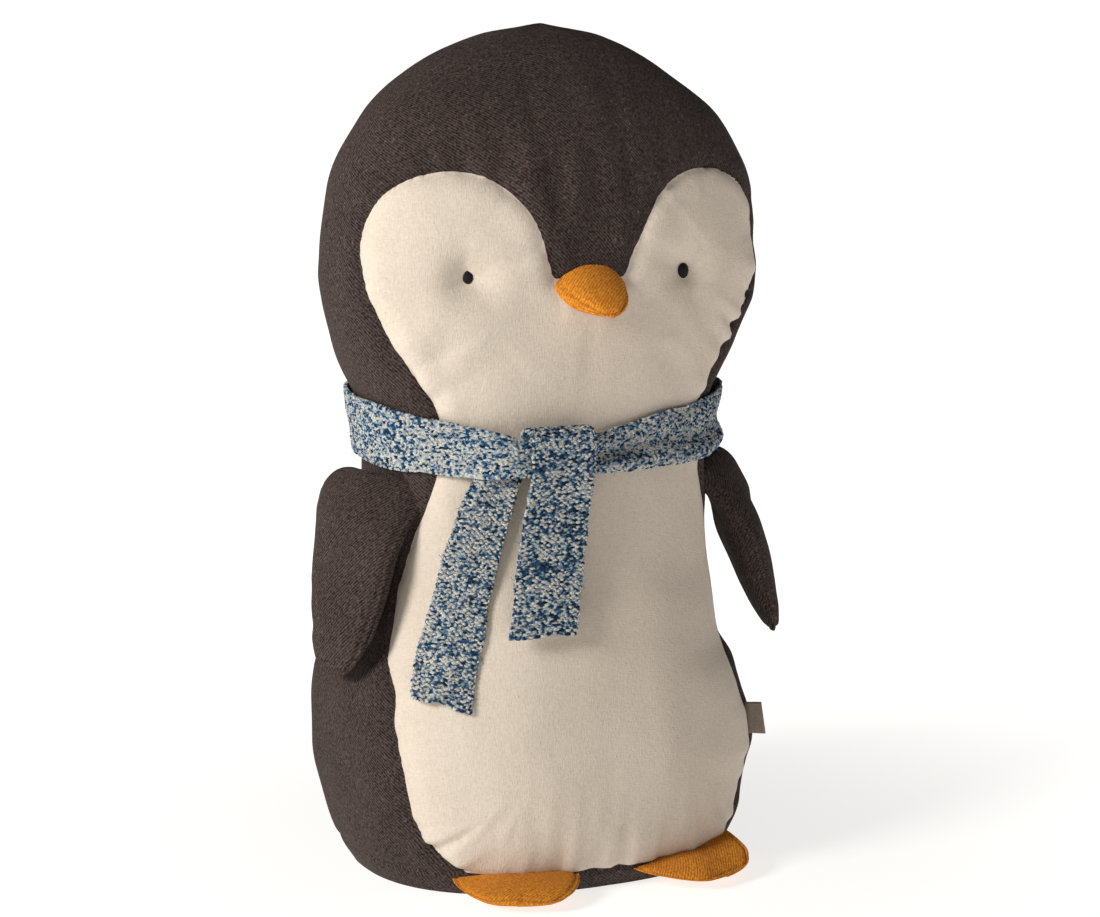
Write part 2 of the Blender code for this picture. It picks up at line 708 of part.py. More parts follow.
def main():
    body_panels()
    body_inside()
    eye("eye_left", 1)
    eye("eye_right", -1)
    clear_form = body_form("sewn_on_clear", 2 * GAP)
    wings(clear_form)
    feet(body_form("foot_clear", FOOT_CLEARANCE))
    beak(clear_form)
    scarf()
    side_label()


clear_scene()
PARTS = make_collection("plush_penguin")
CUTTERS = make_collection("cutters")
main()
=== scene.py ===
"""Looks of the plush penguin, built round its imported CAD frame.

Metres, +Z up. The penguin faces -Y, and +X is its own left side, which is a viewer's right.
"""

import math

import bmesh
import bpy
import numpy as np
from mathutils import Matrix, Vector


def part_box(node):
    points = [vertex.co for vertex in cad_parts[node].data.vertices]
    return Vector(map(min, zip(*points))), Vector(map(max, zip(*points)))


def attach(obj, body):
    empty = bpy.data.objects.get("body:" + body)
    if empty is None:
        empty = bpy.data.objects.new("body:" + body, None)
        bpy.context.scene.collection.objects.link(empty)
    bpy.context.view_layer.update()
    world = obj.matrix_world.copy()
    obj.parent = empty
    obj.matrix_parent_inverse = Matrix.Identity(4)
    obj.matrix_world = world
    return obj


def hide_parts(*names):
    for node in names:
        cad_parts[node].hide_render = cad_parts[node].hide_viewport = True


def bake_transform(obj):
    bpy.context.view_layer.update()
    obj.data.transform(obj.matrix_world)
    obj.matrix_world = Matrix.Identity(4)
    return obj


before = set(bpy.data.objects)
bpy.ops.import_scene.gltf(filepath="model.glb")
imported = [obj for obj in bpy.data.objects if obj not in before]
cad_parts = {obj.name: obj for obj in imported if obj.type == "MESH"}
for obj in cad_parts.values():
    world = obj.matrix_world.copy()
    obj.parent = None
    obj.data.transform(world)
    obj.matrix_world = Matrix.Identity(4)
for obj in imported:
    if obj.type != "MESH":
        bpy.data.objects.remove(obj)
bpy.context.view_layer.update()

# ---------------------------------------------------------------- sizes and places
# Most are the CAD model's own. A few were changed after comparing the render with the photo.
HEIGHT = 0.440
# Height, half width, front and back depth, sideways sway. The CAD's base is a little smaller.
BODY_SECTIONS = np.array((
    (0.000, 0.0980, 0.080, 0.078, -0.0005), (0.010, 0.1040, 0.087, 0.085, -0.0005),
    (0.030, 0.1105, 0.094, 0.096, -0.0006), (0.065, 0.1170, 0.095, 0.102, -0.0012),
    (0.100, 0.1121, 0.091, 0.101, -0.0044), (0.120, 0.1010, 0.087, 0.099, -0.0040),
    (0.138, 0.0970, 0.082, 0.095, -0.0035), (0.160, 0.0932, 0.075, 0.090, -0.0026),
    (0.205, 0.0910, 0.065, 0.080, -0.0012), (0.240, 0.0955, 0.057, 0.072, -0.0006),
    (0.275, 0.1105, 0.057, 0.071, 0.0010), (0.315, 0.1199, 0.058, 0.072, 0.0025),
    (0.355, 0.1169, 0.056, 0.066, 0.0027), (0.390, 0.1001, 0.047, 0.055, 0.0018),
    (0.418, 0.0690, 0.031, 0.041, 0.0000), (0.434, 0.0320, 0.017, 0.023, -0.0005),
    (0.440, 0.0000, 0.000, 0.000, -0.0005),
))
WIDTH, FRONT, BACK, SWAY = 1, 2, 3, 4   # columns of the table above
BODY_POWER = 2.35
FACE_OUTLINE = np.array((
    (0.0000, 0.0040), (0.0550, 0.0060), (0.0780, 0.0165), (0.0904, 0.0280), (0.0977, 0.0460),
    (0.1010, 0.0780), (0.0976, 0.1080), (0.0918, 0.1420), (0.0848, 0.1780), (0.0766, 0.2070),
    (0.0730, 0.2280), (0.0757, 0.2470), (0.0893, 0.2670), (0.1038, 0.2910), (0.1125, 0.3160),
    (0.1127, 0.3370), (0.1047, 0.3540), (0.0896, 0.3642), (0.0700, 0.3675), (0.0520, 0.3625),
    (0.0375, 0.3500), (0.0285, 0.3350), (0.0230, 0.3200), (0.0205, 0.3125),
))
LEFT_WIDER = 0.0042                     # how much further the cream panel reaches, low on the left
BASE_SEAM = 0.0122                      # its height
SIDE_SEAM = (0.052, 0.015)              # +Y of the side seam at the floor and at the crown
# Where the filling is fuller or slacker on one side: side, lift, height and spread.
UNEVEN_FILLING = (
    (-1, 0.0016, 0.305, 0.030), (-1, 0.0014, 0.100, 0.030), (-1, 0.0010, 0.385, 0.025),
    (1, -0.0018, 0.122, 0.018), (1, -0.0012, 0.170, 0.028), (1, -0.0020, 0.420, 0.012),
)
# Seams with their grooves' depth and width, and the depth, pitch, reach and seed of their gathers.
BODY_SEAMS = (
    ("base", 0.0009, 0.0016, 0.0008, 0.009, 0.010, 17),
    ("side", 0.0011, 0.0016, 0.0006, 0.010, 0.009, 31),
    ("back", 0.0013, 0.0018, 0.0007, 0.010, 0.010, 43),
)

EYE = (0.0608, 0.3137)
EYE_HALF = (0.0030, 0.0020, 0.0040)     # a little larger than in the CAD
EYE_RISE = 0.0024                       # how far the eye stands up from the pinch
EYE_PULL, EYE_PINCH = 0.0075, 0.0018    # depths of the wide dimple and of the pinch at its middle

WING_LENGTH, WING_WIDTH = 0.106, 0.076
WING_THICKNESS = 0.0231                 # 0.021 in the CAD
WING_ROOT = (0.0975, -0.012, 0.2125)
WING_YAW = math.radians(19)
WING_LIFT = {"right": math.radians(14), "left": math.radians(18.5)}   # left: 20 in the CAD

FOOT_LENGTH, FOOT_WIDTH, FOOT_THICKNESS = 0.042, 0.068, 0.0095
FOOT_ROOT = (0.043, -0.070, 0.0105)
FOOT_TILT = math.radians(6)
FOOT_SPLAY = math.radians(24)
FOOT_BEND = {"left": (0.0105, 0.005), "right": (0.0012, 0.002)}   # lift and reach of the +X end

BEAK_LENGTH, BEAK_WIDTH, BEAK_THICKNESS = 0.035, 0.042, 0.019
BEAK_NARROWED, BEAK_SHORTENED = 0.91, 0.96   # shares of the CAD beak's width and length
BEAK_ROOT = (0.0025, -0.050, 0.3125)
BEAK_DROOP = math.radians(33)

KNIT = 0.0030                           # thickness of the knitted strip
LOW_EDGE, HIGH_EDGE = (0.2145, 0.2195), (0.2330, 0.2570)   # the neck band's edges, front and back
RISE_POWER = 0.42
NECK_GAP, BAND_LOOSE = 0.0018, 0.0010
KNOT_X, KNOT_TURN, KNOT_FLAT_SHARE = -0.0200, math.radians(9), 0.012
KNOT_STANDOFF, KNOT_SPREAD, KNOT_GAP = 0.0055, 0.036, 0.0012
KNOT_WIDTH, KNOT_TOP = 0.0345, 0.2400
KNOT_START, KNOT_END = 0.2300, 0.2155   # the heights where the fold starts behind and ends in front
FRONT_STEPS = 240
# Each tail: top and end as (x, z), width, gap to the body at both, how far it follows the body, slant.
FRONT_TAIL = ((-0.0205, 0.2125), (-0.0370, 0.1375), 0.0345, (0.0098, 0.0070), 0.4, 0.0)
SIDE_TAIL = ((-0.0540, 0.2125), (-0.0870, 0.1035), 0.0270, (0.0044, 0.0056), 0.6, 1.0)
SIDE_TAIL_LENGTH = 0.114
SIDE_HIDDEN = 0.06                      # the share of the side strip that lies behind the band
STRIP_THICKNESS = 0.0012                # of the sheet under the yarn loops, whose dark colour is painted shade
FIBRE_RADIUS = 0.00011
HAIRS = {"neck_band": (260, 51), "front": (90, 61), "side": (90, 71)}   # how many, and their seed
LABEL_REACH, LABEL_FOLD, LABEL_TALL = 0.0075, 0.0012, 0.0170
LABEL_PLACE = (0.1032, 0.0725)
LABEL_HIDDEN = 0.003                    # the length of each end inside the seam
TAPE_THICKNESS = 0.0003

# ---------------------------------------------------------------- mesh detail
TORSO_COLUMNS, TORSO_RINGS, BASE_RINGS = 360, 288, 24
LIMB_ROWS, LIMB_COLUMNS = 88, 96
LIMB_EDGE_POWER = 1.15                  # above 1, the two cushions of a limb meet in a thin edge
UNDERSIDE = 0.3                         # where a limb's other panel lies on the cloth, in metres
YARN_SAMPLES, YARN_SIDES = 12, 6        # points along one loop of yarn, and round it
FIBRE_SIDES = 4
COARSER = 3                             # the cloth simulation runs on a grid this much coarser
CLOTH_FRAMES = 16
CLOTH = {
    "quality": 5, "mass": 0.2, "tension_stiffness": 20, "compression_stiffness": 12,
    "shear_stiffness": 8, "bending_stiffness": 0.08, "tension_damping": 8, "pin_stiffness": 1,
    "use_pressure": True, "uniform_pressure_force": 3.0, "shrink_min": 0, "shrink_max": 0.10,
}
UV_JUMP = 0.05                          # a larger step in a cloth coordinate is a jump, not cloth
HEM = 0.0026                            # from a limb's edge to its line of stitches

# ---------------------------------------------------------------- camera and studio
CAMERA_AZIMUTH, CAMERA_ELEVATION, CAMERA_ROLL = (math.radians(a) for a in (-25.63, 8.68, 0.46))
CAMERA_DISTANCE, CAMERA_LENS, CAMERA_SENSOR = 1.5195, 93.9, 36
CAMERA_AIM = (0.0059, -0.0028, 0.2121)
FLOOR_REACH = 30
FLOOR_GLOW_AND_SHADE_POOL = (0.10, 0.80), (0.60, 1.07)      # distance from the middle and glow, near and far; the weaker glow near the middle is a painted shadow pool
SKY_LEVEL = (0.11, 1.03), (0.18, 0.05)       # height of a direction and light, at the horizon and above
KEY_PLACE, KEY_AIM = (-2.05, -0.52, 1.15), (0, 0, 0.2)
KEY_SIZE, KEY_POWER, KEY_COLOUR = 0.8, 51, (1.0, 0.985, 0.96)


# ---------------------------------------------------------------- numbers and noise
def curve_value(xs, ys, at):
    """A smooth monotone curve through points, read at an array of places."""
    xs = np.asarray(xs, float)
    ys = np.asarray(ys, float)
    steps = np.diff(xs)
    rises = np.diff(ys) / steps
    slopes = np.empty_like(ys)
    slopes[0], slopes[-1] = rises[0], rises[-1]
    product = rises[:-1] * rises[1:]
    total = np.where(product > 0, rises[:-1] + rises[1:], 1)
    slopes[1:-1] = np.where(product > 0, 2 * product / total, 0)
    at = np.clip(at, xs[0], xs[-1])
    k = np.clip(np.searchsorted(xs, at, side="right") - 1, 0, len(xs) - 2)
    t = (at - xs[k]) / steps[k]
    cube, square = t ** 3, t ** 2
    return (
        ys[k] * (2 * cube - 3 * square + 1) + ys[k + 1] * (3 * square - 2 * cube)
        + steps[k] * slopes[k] * (cube - 2 * square + t)
        + steps[k] * slopes[k + 1] * (cube - square)
    )


def section(column, z):
    """One column of the body's table at an array of heights."""
    return curve_value(BODY_SECTIONS[:, 0], BODY_SECTIONS[:, column], z)


def signed_power(value, power):
    return np.sign(value) * np.abs(value) ** power


def lattice(*cells):
    """A repeatable number from -1 to 1 for each whole-numbered cell."""
    mixed = np.zeros_like(np.asarray(cells[0], dtype=np.int64))
    for cell, prime in zip(cells, (374761393, 668265263, 1274126177)):
        mixed = mixed + np.asarray(cell, dtype=np.int64) * prime
    mixed = (mixed ^ (mixed >> 13)) * 1274126177
    mixed = mixed ^ (mixed >> 16)
    return (mixed & 0xFFFF) / 32767.5 - 1


def smooth_noise(*places, seed=0):
    """Smooth repeatable noise from -1 to 1, in one or two directions."""
    first = np.asarray(places[0], float)
    second = np.asarray(places[1], float) if len(places) > 1 else np.zeros_like(first)
    i, j = np.floor(first), np.floor(second)
    u, v = first - i, second - j
    u, v = u * u * (3 - 2 * u), v * v * (3 - 2 * v)
    corner = [[lattice(i + a, j + b, np.full_like(i, seed)) for b in (0, 1)] for a in (0, 1)]
    near = corner[0][0] * (1 - v) + corner[0][1] * v
    far = corner[1][0] * (1 - v) + corner[1][1] * v
    return near * (1 - u) + far * u


def bell(distance, width):
    return np.exp(-0.5 * (distance / width) ** 2)


def axes(points):
    """The x, y and z of an array of points."""
    return points[..., 0], points[..., 1], points[..., 2]


def unit(vectors):
    """Vectors scaled to a length of 1."""
    return vectors / np.maximum(np.linalg.norm(vectors, axis=-1, keepdims=True), 1e-12)


# ---------------------------------------------------------------- meshes
def grid_faces(rows, columns, wrap):
    """Quads of a grid whose points are stored row by row."""
    last = columns if wrap else columns - 1
    row, column = np.meshgrid(np.arange(rows - 1), np.arange(last), indexing="ij")
    after = (column + 1) % columns
    a, b = row * columns + column, row * columns + after
    return np.stack([a, b, b + columns, a + columns], -1).reshape(-1, 4)


def linked(name, data):
    """A new object that shows some data, linked into the scene."""
    made = bpy.data.objects.new(name, data)
    bpy.context.scene.collection.objects.link(made)
    return made


def mesh_object(name, points, faces, uvs=None):
    """A mesh object from arrays. uvs holds one pair for each corner of each face, in metres."""
    mesh = bpy.data.meshes.new(name)
    mesh.from_pydata([tuple(p) for p in points], [], [tuple(int(i) for i in f) for f in faces])
    if uvs is not None:
        layer = mesh.uv_layers.new(name="cloth")
        layer.data.foreach_set("uv", np.asarray(uvs, np.float32).reshape(-1))
    mesh.shade_smooth()
    return linked(name, mesh)


def closed_grid(name, grid, uv=None):
    """A closed form from rows of rings. The first and the last row are each one point."""
    rows, columns = grid.shape[:2]
    inner = grid[1:-1].reshape(-1, 3)
    points = np.vstack([inner, grid[0, :1], grid[-1, :1]])
    ring = np.arange(columns)
    after = (ring + 1) % columns
    top = (rows - 3) * columns
    start = np.stack([np.full(columns, len(inner)), after, ring], -1)
    end = np.stack([top + ring, top + after, np.full(columns, len(inner) + 1)], -1)
    faces = [*grid_faces(rows - 2, columns, True), *start, *end]
    return mesh_object(name, points, faces, None if uv is None else closed_uv(uv))


def closed_uv(uv):
    """The cloth coordinates of every corner of a closed grid's faces."""
    # Where they jump from one column to the next, the last column is carried on.
    beyond = np.roll(uv, -1, 1)
    jumps = np.abs(beyond[..., 0] - uv[..., 0]) > UV_JUMP
    beyond[..., 0] = np.where(jumps, 2 * uv[..., 0] - np.roll(uv, 1, 1)[..., 0], beyond[..., 0])
    low, high = slice(1, -2), slice(2, -1)
    quads = np.stack([uv[low], beyond[low], beyond[high], uv[high]], 2)
    start = np.stack([uv[0], beyond[1], uv[1]], 1)
    end = np.stack([uv[-2], beyond[-2], uv[-1]], 1)
    return np.vstack([corners.reshape(-1, 2) for corners in (quads, start, end)])


def thickened(sheet, thickness):
    """Give an open sheet a thickness, half of it on each side."""
    thicken = sheet.modifiers.new("thickness", "SOLIDIFY")
    thicken.thickness = thickness
    thicken.offset = 0
    bpy.context.view_layer.update()
    graph = bpy.context.evaluated_depsgraph_get()
    solid = bpy.data.meshes.new_from_object(sheet.evaluated_get(graph))
    sheet.modifiers.clear()
    sheet.data = solid
    solid.shade_smooth()
    return sheet


def grid_normals(grid):
    """Outward normals of a closed grid of rings that run anticlockwise seen from the last row."""
    across = np.roll(grid, -1, 1) - np.roll(grid, 1, 1)
    along = np.gradient(grid, axis=0)
    normal = unit(np.cross(across, along))
    for end, near in ((0, 1), (-1, -2)):
        normal[end] = unit(normal[near].mean(0))
    return normal


def blurred(field, times):
    """A field over a grid of rings, smoothed along both directions."""
    for _ in range(times):
        field = (field + np.roll(field, 1, 1) + np.roll(field, -1, 1)) / 3
        inside = (field[:-2] + field[1:-1] + field[2:]) / 3
        field = np.concatenate([field[:1], inside, field[-1:]])
        field[0] = field[0].mean(0)
        field[-1] = field[-1].mean(0)
    return field


def cloth_wrinkles(grid, seam_share, held_share):
    """Inflate the sewn form with Blender's Cloth and return how far each point moved.

    The seams are cut shorter than the cloth beside them, so the cloth gathers there.
    """
    made = closed_grid("cloth_trial", grid)
    rows, columns = grid.shape[:2]
    order = np.concatenate([np.arange(columns, (rows - 1) * columns), [0, (rows - 1) * columns]])
    for name, share in (("seam", seam_share), ("held", held_share)):
        group = made.vertex_groups.new(name=name)
        flat = np.asarray(share, float).reshape(-1)[order]
        for index in np.nonzero(flat > 0.02)[0]:
            group.add([int(index)], float(flat[index]), "REPLACE")
    modifier = made.modifiers.new("Cloth", "CLOTH")
    settings = modifier.settings
    for key, value in CLOTH.items():
        setattr(settings, key, value)
    settings.effector_weights.gravity = 0
    settings.vertex_group_mass = "held"
    settings.vertex_group_shrink = "seam"
    modifier.collision_settings.use_collision = False
    modifier.point_cache.frame_start = 1
    modifier.point_cache.frame_end = CLOTH_FRAMES
    scene = bpy.context.scene
    for number in range(1, CLOTH_FRAMES + 1):
        scene.frame_set(number)
    graph = bpy.context.evaluated_depsgraph_get()
    moved = made.evaluated_get(graph).data
    found = np.empty(len(moved.vertices) * 3)
    moved.vertices.foreach_get("co", found)
    found = found.reshape(-1, 3)
    result = np.empty_like(grid)
    result[1:-1] = found[:-2].reshape(rows - 2, columns, 3)
    result[0], result[-1] = found[-2], found[-1]
    bpy.data.objects.remove(made, do_unlink=True)
    scene.frame_set(1)
    return result - grid


def finer(field, rows, columns):
    """A field over a coarse grid, read on a finer grid of the same form."""
    coarse_rows, coarse_columns = field.shape[:2]
    r = np.linspace(0, coarse_rows - 1, rows)
    c = np.arange(columns) * coarse_columns / columns
    i = np.clip(r.astype(int), 0, coarse_rows - 2)
    j = c.astype(int)
    u = (r - i)[:, None, None]
    v = (c - j)[None, :, None]
    near, far = field[i], field[i + 1]
    after = (j + 1) % coarse_columns
    low = near[:, j] * (1 - v) + near[:, after] * v
    high = far[:, j] * (1 - v) + far[:, after] * v
    return low * (1 - u) + high * u


# ---------------------------------------------------------------- materials
def grey(level):
    return (level, level, level)


def eased(tree, value, start, end):
    """A value turned into a level that eases from one to another. Each end is a value and its level."""
    made = tree.nodes.new("ShaderNodeMapRange")
    made.interpolation_type = "SMOOTHSTEP"
    for socket, number in zip(("From Min", "To Min", "From Max", "To Max"), (*start, *end)):
        made.inputs[socket].default_value = number
    tree.links.new(value, made.inputs["Value"])
    return made.outputs["Result"]


class Shader:
    """A procedural material that is built up node by node."""

    def __init__(self, name, roughness, sheen=0.0):
        self.material = bpy.data.materials.new(name)
        self.material.use_nodes = True
        self.tree = self.material.node_tree
        self.main = self.tree.nodes["Principled BSDF"]
        self.main.inputs["Roughness"].default_value = roughness
        self.main.inputs["Sheen Weight"].default_value = sheen
        self.main.inputs["Sheen Roughness"].default_value = 0.5
        self.main.inputs["Specular IOR Level"].default_value = 0.25

    def node(self, kind, **settings):
        made = self.tree.nodes.new(kind)
        for key, value in settings.items():
            setattr(made, key, value)
        return made

    def link(self, source, node, socket):
        self.tree.links.new(source, node.inputs[socket])

    def place(self, scale, uv=True):
        """Cloth or object coordinates in metres, scaled."""
        coords = self.node("ShaderNodeTexCoord")
        mapping = self.node("ShaderNodeMapping")
        mapping.inputs["Scale"].default_value = scale
        self.link(coords.outputs["UV" if uv else "Object"], mapping, "Vector")
        return mapping.outputs["Vector"]

    def noise(self, vector, detail=2.0, rough=0.5):
        made = self.node("ShaderNodeTexNoise")
        made.inputs["Scale"].default_value = 1.0
        made.inputs["Detail"].default_value = detail
        made.inputs["Roughness"].default_value = rough
        self.link(vector, made, "Vector")
        return made.outputs["Fac"]

    def grain(self, fineness, detail, rough=0.5):
        """Noise in the object's own space, in features per metre."""
        return self.noise(self.place((fineness,) * 3, uv=False), detail, rough)

    def bands(self, vector, direction="DIAGONAL", distortion=0.0):
        made = self.node("ShaderNodeTexWave", bands_direction=direction)
        made.inputs["Scale"].default_value = 1.0
        made.inputs["Distortion"].default_value = distortion
        made.inputs["Detail"].default_value = 1.0
        self.link(vector, made, "Vector")
        return made.outputs["Fac"]

    def ramp(self, value, stops, kind="LINEAR"):
        made = self.node("ShaderNodeValToRGB")
        made.color_ramp.interpolation = kind
        elements = made.color_ramp.elements
        while len(elements) < len(stops):
            elements.new(0.5)
        for element, (position, colour) in zip(elements, stops):
            element.position = position
            element.color = (*colour, 1.0)
        self.link(value, made, "Fac")
        return made.outputs["Color"]

    def feed(self, socket, value):
        """Give a socket a number or a colour, or link it to another node's output."""
        if isinstance(value, (int, float)):
            socket.default_value = value
        elif isinstance(value, tuple):
            socket.default_value = (*value, 1.0)
        else:
            self.tree.links.new(value, socket)

    def mix(self, share, first, second, kind="MIX"):
        made = self.node("ShaderNodeMix", data_type="RGBA", blend_type=kind)
        # The node's inputs 6 and 7 and its output 2 are the ones for colours.
        for socket, value in ((0, share), (6, first), (7, second)):
            self.feed(made.inputs[socket], value)
        return made.outputs[2]

    def times(self, colour, shade):
        return self.mix(1.0, colour, shade, "MULTIPLY")

    def combined(self, first, second, operation="ADD"):
        made = self.node("ShaderNodeMath", operation=operation)
        for socket, value in zip(made.inputs, (first, second)):
            self.feed(socket, value)
        return made.outputs[0]

    def weighted(self, *pairs):
        """The sum of several values, each times its weight."""
        total = None
        for value, weight in pairs:
            part = self.combined(value, weight, "MULTIPLY")
            total = part if total is None else self.combined(total, part)
        return total

    def finish(self, colour, height=None, depth=0.0002, strength=0.6):
        self.link(colour, self.main, "Base Color")
        if height is not None:
            bump = self.node("ShaderNodeBump")
            bump.inputs["Distance"].default_value = depth
            bump.inputs["Strength"].default_value = strength
            self.link(height, bump, "Height")
            self.link(bump.outputs["Normal"], self.main, "Normal")
        return self.material


def twill(name, dark, light, fleck, fleck_share):
    """Brushed twill: fine diagonal ribs, a soft nap and lighter yarn flecks."""
    shader = Shader(name, 0.95, sheen=0.04)
    shader.main.inputs["Sheen Tint"].default_value = (0.85, 0.68, 0.62, 1.0)
    shader.main.inputs["Specular IOR Level"].default_value = 0.10
    ribs = shader.bands(shader.place((330, 330, 330)), distortion=2.5)
    nap = shader.grain(680, 3.0, 0.75)
    broad = shader.grain(26, 3.0)
    slubs = shader.grain(760, 1.0)
    tone = shader.weighted((ribs, 0.16), (nap, 0.84))
    colour = shader.ramp(tone, ((0.36, dark), (0.66, light)))
    flecks = shader.ramp(slubs, ((fleck_share, grey(0)), (fleck_share + 0.09, grey(1))))
    colour = shader.mix(flecks, colour, fleck)
    shade = shader.ramp(broad, ((0.35, grey(0.84)), (0.65, grey(1.0))))
    colour = shader.times(colour, shade)
    height = shader.combined(shader.combined(ribs, 0.2, "MULTIPLY"), nap)
    return shader.finish(colour, height, depth=0.0008, strength=0.8)


def cream_cotton():
    """Plain woven cotton, with threads a little uneven in thickness and tone."""
    shader = Shader("cream_cotton_cloth", 0.92, sheen=0.04)
    shader.main.inputs["Specular IOR Level"].default_value = 0.20
    warp = shader.noise(shader.place((1500, 260, 300)), detail=1.0)
    weft = shader.noise(shader.place((260, 1500, 300)), detail=1.0)
    mottled = shader.grain(620, 3.0, 0.6)
    broad = shader.grain(22, 4.0)
    specks = shader.noise(shader.place((650, 420, 300)), detail=0.0)
    threads = shader.combined(warp, weft)
    tone = shader.weighted((threads, 0.30), (mottled, 0.40))
    colour = shader.ramp(tone, ((0.36, (0.580, 0.497, 0.405)), (0.64, (0.690, 0.603, 0.508))))
    speck = shader.ramp(specks, ((0.80, grey(1)), (0.88, (0.80, 0.70, 0.58))))
    colour = shader.times(colour, speck)
    shade = shader.ramp(broad, ((0.35, (0.965, 0.955, 0.945)), (0.65, grey(1.0))))
    colour = shader.times(colour, shade)
    return shader.finish(colour, shader.combined(threads, mottled), depth=0.0004, strength=0.5)


def marl_yarn(name, creamier):
    """Yarn plied from blue, cream and navy strands. U runs along the yarn and V round it."""
    shader = Shader(name, 0.95)
    along = shader.noise(shader.place((330, 1.0, 1)), detail=1.0, rough=0.3)
    twist = shader.bands(shader.place((300, 14, 1)), distortion=0.6)
    patches = shader.grain(85, 1.0)
    share = shader.weighted((along, 0.75), (twist, 0.1), (patches, 0.15))
    share = shader.combined(share, creamier)
    cream, pale = (0.95, 0.89, 0.74), (0.42, 0.55, 0.60)
    blue, deep, navy = (0.018, 0.165, 0.36), (0.006, 0.055, 0.145), (0.006, 0.010, 0.022)
    strands = (
        (0.0, navy), (0.37, deep), (0.43, blue), (0.488, pale), (0.50, cream), (0.60, blue), (0.64, navy),
    )
    colour = shader.ramp(share, strands, "CONSTANT")
    fibres = shader.noise(shader.place((1500, 30, 1)), detail=2.0)
    soft = shader.ramp(fibres, ((0.3, grey(0.82)), (0.7, grey(1.0))))
    colour = shader.times(colour, soft)
    return shader.finish(colour, shader.combined(twist, fibres), depth=0.0003, strength=0.7)


def painted_shade_backing():
    """Painted shade: a dark colour for the shaded yarn seen between the loops."""
    shader = Shader("scarf_painted_shade_backing", 0.98)
    patches = shader.grain(520, 2.0)
    colour = shader.ramp(patches, ((0.40, (0.012, 0.022, 0.045)), (0.60, (0.10, 0.12, 0.13))))
    return shader.finish(colour, patches, depth=0.0004)


def eye_thread():
    shader = Shader("eye_thread", 0.60)
    shader.main.inputs["Specular IOR Level"].default_value = 0.15
    strands = shader.bands(shader.place((900, 900, 900), uv=False), "X", 0.8)
    colour = shader.ramp(strands, ((0.2, (0.004, 0.004, 0.005)), (0.8, (0.015, 0.014, 0.015))))
    return shader.finish(colour, strands, depth=0.0001, strength=0.5)


def label_tape():
    """Woven taupe tape with fine cross ribs."""
    shader = Shader("label_tape_cloth", 0.85, sheen=0.1)
    ribs = shader.bands(shader.place((1, 1, 900), uv=False), "Z", 0.4)
    threads = shader.bands(shader.place((900, 900, 1), uv=False), "X", 0.4)
    uneven = shader.grain(700, 2.0)
    tone = shader.weighted((ribs, 0.5), (uneven, 0.6))
    colour = shader.ramp(tone, ((0.2, (0.20, 0.155, 0.12)), (0.9, (0.42, 0.35, 0.28))))
    return shader.finish(colour, shader.combined(ribs, threads), depth=0.0002)


CHARCOAL = twill(
    "charcoal_twill_cloth", dark=(0.012, 0.0085, 0.0075), light=(0.092, 0.067, 0.060),
    fleck=(0.125, 0.100, 0.090), fleck_share=0.66,
)
OCHRE = twill(
    "ochre_twill_cloth", dark=(0.46, 0.145, 0.013), light=(0.90, 0.345, 0.038),
    fleck=(0.92, 0.45, 0.10), fleck_share=0.74,
)
CREAM = cream_cotton()
YARN = marl_yarn("marl_yarn", 0.0)
DARKER_YARN = marl_yarn("marl_yarn_dark_length", -0.012)
PALER_YARN = marl_yarn("marl_yarn_pale_length", 0.022)
SHADE_BACKING = painted_shade_backing()


def wear(piece, *materials):
    piece.data.materials.clear()
    for material in materials:
        piece.data.materials.append(material)
    return piece


# ---------------------------------------------------------------- torso
def body_surface(angle, z):
    """Points of the skin before any seams. Angle 0 is +X and -90 degrees is the front."""
    depth = np.where(np.sin(angle) < 0, section(FRONT, z), section(BACK, z))
    x = section(SWAY, z) + section(WIDTH, z) * signed_power(np.cos(angle), 2 / BODY_POWER)
    y = depth * signed_power(np.sin(angle), 2 / BODY_POWER)
    return np.stack([x, y, z + np.zeros_like(x)], -1)


def body_front(x, z):
    """The skin's y at the front, at a given x and height."""
    share = np.minimum(np.abs(x - section(SWAY, z)) / section(WIDTH, z), 0.999)
    return -section(FRONT, z) * (1 - share ** BODY_POWER) ** (1 / BODY_POWER)


def front_at(x, z):
    """The skin's y at the front, at one point."""
    return float(body_front(np.array(x), np.array(z)))


def torso_grid(columns, rings, base_rings):
    """Rings from the middle of the base, out over it and up to the crown."""
    angle = -math.pi / 2 + (np.arange(columns) + 0.5) * 2 * math.pi / columns
    share = np.linspace(0, 1, rings - base_rings)
    z = HEIGHT * np.sin(share * math.pi / 2) ** 2
    upper = body_surface(angle[None, :], z[:, None])
    scale = (np.arange(base_rings) / base_rings)[:, None, None]
    return np.concatenate([upper[:1] * scale, upper])


def outline_polyline():
    """The face panel's whole outline, as many short pieces, measured from the swaying axis."""
    count = len(FACE_OUTLINE)
    steps = np.linalg.norm(np.diff(FACE_OUTLINE, axis=0), axis=1)
    run = np.concatenate([[0], np.cumsum(steps)])
    at = np.linspace(0, run[-1], 260)
    # A Catmull-Rom curve through the outline's points.
    padded = np.vstack([
        [-FACE_OUTLINE[1][0], FACE_OUTLINE[1][1]], FACE_OUTLINE, 2 * FACE_OUTLINE[-1] - FACE_OUTLINE[-2]
    ])
    k = np.clip(np.searchsorted(run, at, side="right") - 1, 0, count - 2)
    t = ((at - run[k]) / steps[k])[:, None]
    a, b, c, d = padded[k], padded[k + 1], padded[k + 2], padded[k + 3]
    half = 0.5 * (
        2 * b + (c - a) * t + (2 * a - 5 * b + 4 * c - d) * t ** 2 + (3 * b - a - 3 * c + d) * t ** 3
    )
    # The beak's seam closes the outline between the two lobes.
    bridge = np.stack([np.linspace(half[-1][0], -half[-1][0], 26)[1:-1], np.full(24, half[-1][1])], 1)
    mirrored = half[::-1] * np.array([-1, 1])
    return np.vstack([half, bridge, mirrored[:-1]])


